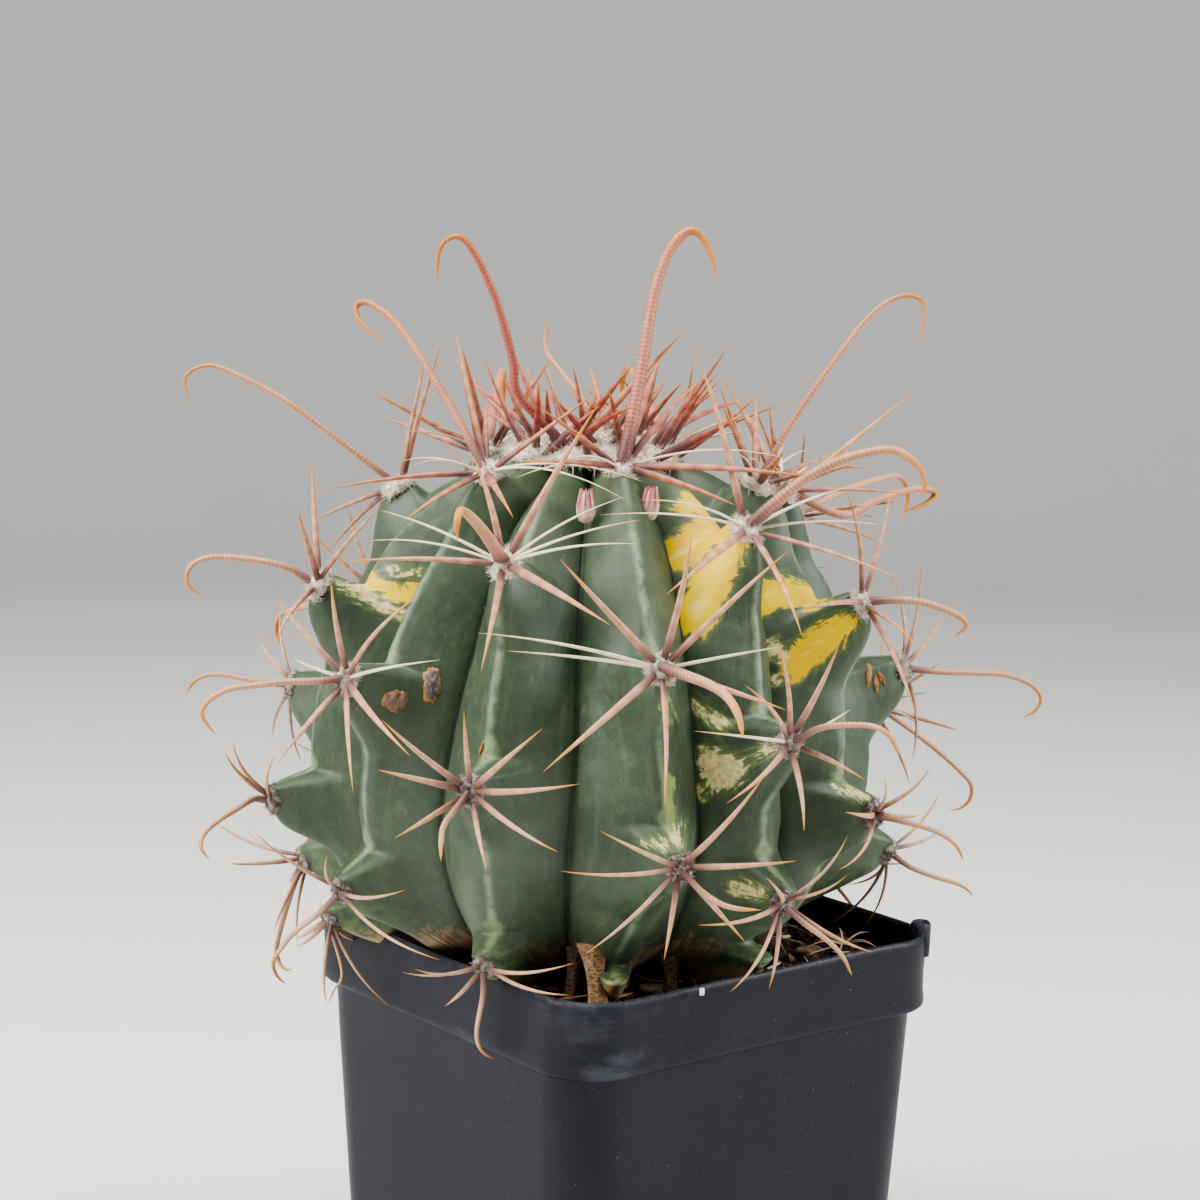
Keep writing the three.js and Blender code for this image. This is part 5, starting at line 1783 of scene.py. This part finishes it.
pot_rings = []
for half, z in POT_PROFILE_MM:
    flat = rounded_square(half * MM, min(12, half * 0.45) * MM)
    ring = np.column_stack([flat, np.full(len(flat), z * MM)])
    give = smoothstep(60, 94, z) * 0.42 * MM
    outward = ring * [1, 1, 0] / np.linalg.norm(ring[:, :2], axis=1)[:, None]
    ring += outward * (give * waves(ring, 42 * MM, 90) + 0.07 * MM * waves(ring, 9 * MM, 91))[:, None]
    if z > BAND_FOOT_MM:
        swell = 0.32 * MM * smoothstep(BAND_FOOT_MM, RIM_TOP_MM, z)
        ring[:, 2] += swell * waves(ring * [1, 1, 0], 46 * MM, 92)
    pot_rings.append(ring)
pot_mesh = grid_mesh("nursery_pot", np.array(pot_rings), np.array([0, 0, 1.8 * MM]), np.array([0, 0, 0.0]))
pot = show("pot", pot_mesh)

for x in (-1, 1):
    for y in (-1, 1):
        bpy.ops.mesh.primitive_cylinder_add(vertices=DRILL_SIDES, radius=DRAIN_RADIUS, depth=DRILL_LENGTH,
                                            location=(x * DRAIN_OFFSET, y * DRAIN_OFFSET, 0))
        drill = bpy.context.object
        cut = pot.modifiers.new("drain_hole", "BOOLEAN")
        cut.object = drill
        cut.operation = "DIFFERENCE"
        cut.solver = "EXACT"
        state = bpy.context.evaluated_depsgraph_get()
        drilled = bpy.data.meshes.new_from_object(pot.evaluated_get(state))
        pot.modifiers.clear()
        pot.data = drilled
        bpy.data.objects.remove(drill)
pot.data.set_sharp_from_angle(angle=math.radians(38))
print("pot:", len(pot.data.polygons), "faces")

# %% [markdown]
# The small lug on the rim's far right corner is a stub with a rounded top, where a stack of pots is held
# apart. The plastic is charcoal with a blue tinge. It is scuffed along the band's lower edge, and dust has
# settled on it.

# %% Lug and plastic
LUG_PROFILE_MM = [(0.9, 1.2), (1.35, 2.2), (1.75, 2.5), (2.15, 2.1), (2.3, 1.2), (2.25, 0), (2.2, -3),
                  (2.1, -5)]
LUG_SIDES = 32
LUG_PLACE = np.array([45.7 * MM, -45.7 * MM, RIM_TOP])
angle = np.arange(LUG_SIDES) / LUG_SIDES * TAU
lug_rings = []
for radius, z in LUG_PROFILE_MM:
    radius *= 1 + 0.05 * np.sin(angle * 2 + 1)
    ring = np.column_stack([radius * np.cos(angle), radius * np.sin(angle), np.full(LUG_SIDES, z)])
    lug_rings.append(LUG_PLACE + ring * MM)
lug_mesh = grid_mesh("lug", np.array(lug_rings), LUG_PLACE + SKY * 1.0 * MM, LUG_PLACE - SKY * 5.2 * MM)
lug = show("lug", lug_mesh)

plastic, net, place = new_surface("pot_plastic", IOR=1.45, Specular_IOR_Level=0.28)
height = net.add("ShaderNodeSeparateXYZ", {}, {"Vector": place}, out=2)
cloud = net.noise(place, 38.0, 4.0, 0.6)
grain = net.noise(place, 1300.0, 3.0)
scratch = net.noise(net.stretched(place, (55, 55, 190)), 1.0, 5.0, 0.65)
dust = net.noise(place, 2100.0, 2.0).between(0.70, 0.77) * net.noise(place, 160.0, 2.0).between(0.38, 0.6)
band = (height - BAND_FOOT_MM * MM).between(-0.0005, 0.0005)
edge = 1 - (height - 81.5 * MM).size().between(0.0005, 0.004)
scuff = cloud.between(0.50, 0.70) * scratch.between(0.42, 0.62) * (band * 0.6 + edge * 0.4)
lip = (height - 93.9 * MM).between(-0.0003, 0.0009)
black = net.painted(
    colour(0.0055, 0.0070, 0.0125),
    (cloud.between(0.3, 0.7), colour(0.0105, 0.0125, 0.0200)),
    (scuff * 0.55, colour(0.085, 0.09, 0.105)),
    (lip * grain.between(0.3, 0.7) * 0.35, colour(0.11, 0.115, 0.13)),
    (dust * 0.55, colour(0.36, 0.33, 0.29)))
roughness = 0.44 + (cloud - 0.5) * 0.25 + scuff * 0.2 + dust * 0.2
relief = grain * 0.3 + scratch * 0.08 + cloud * 0.6
join_up(net, Base_Color=black, Roughness=roughness, Normal=bumped(net, relief, 0.12 * MM, 0.7))
for piece in (pot, lug):
    piece.data.materials.clear()
    piece.data.materials.append(plastic)
pot = joined("pot", pot, lug)
finished(pot, "pot_plastic", "nursery_pot")
print("pot with its lug:", len(pot.data.polygons), "faces")

# %% [markdown]
# One white grain of grit has been left on the rim, just right of the front corner.

# %% Grain on the rim
GRAIN_PIXEL = (702, 989)
line = sight_line(GRAIN_PIXEL)
grain_place = EYE + (RIM_TOP + 0.2 * MM - EYE[2]) / line[2] * line
grain_mesh = felt_dome("rim_grain", grain_place, EAST, NORTH, SKY, 0.5 * MM, 0.4 * MM, 0.22 * MM, 0.0, 5)
grain_material, net, place = new_surface("white_grit", Roughness=0.6)
white = net.blend(net.noise(place, 2500.0), colour(0.75, 0.72, 0.66), colour(0.9, 0.88, 0.84))
join_up(net, Base_Color=white)
grain_mesh.materials.append(grain_material)
finished(show("rim_grain", grain_mesh), "soil")
print("grain at", [round(c / MM, 1) for c in grain_place])
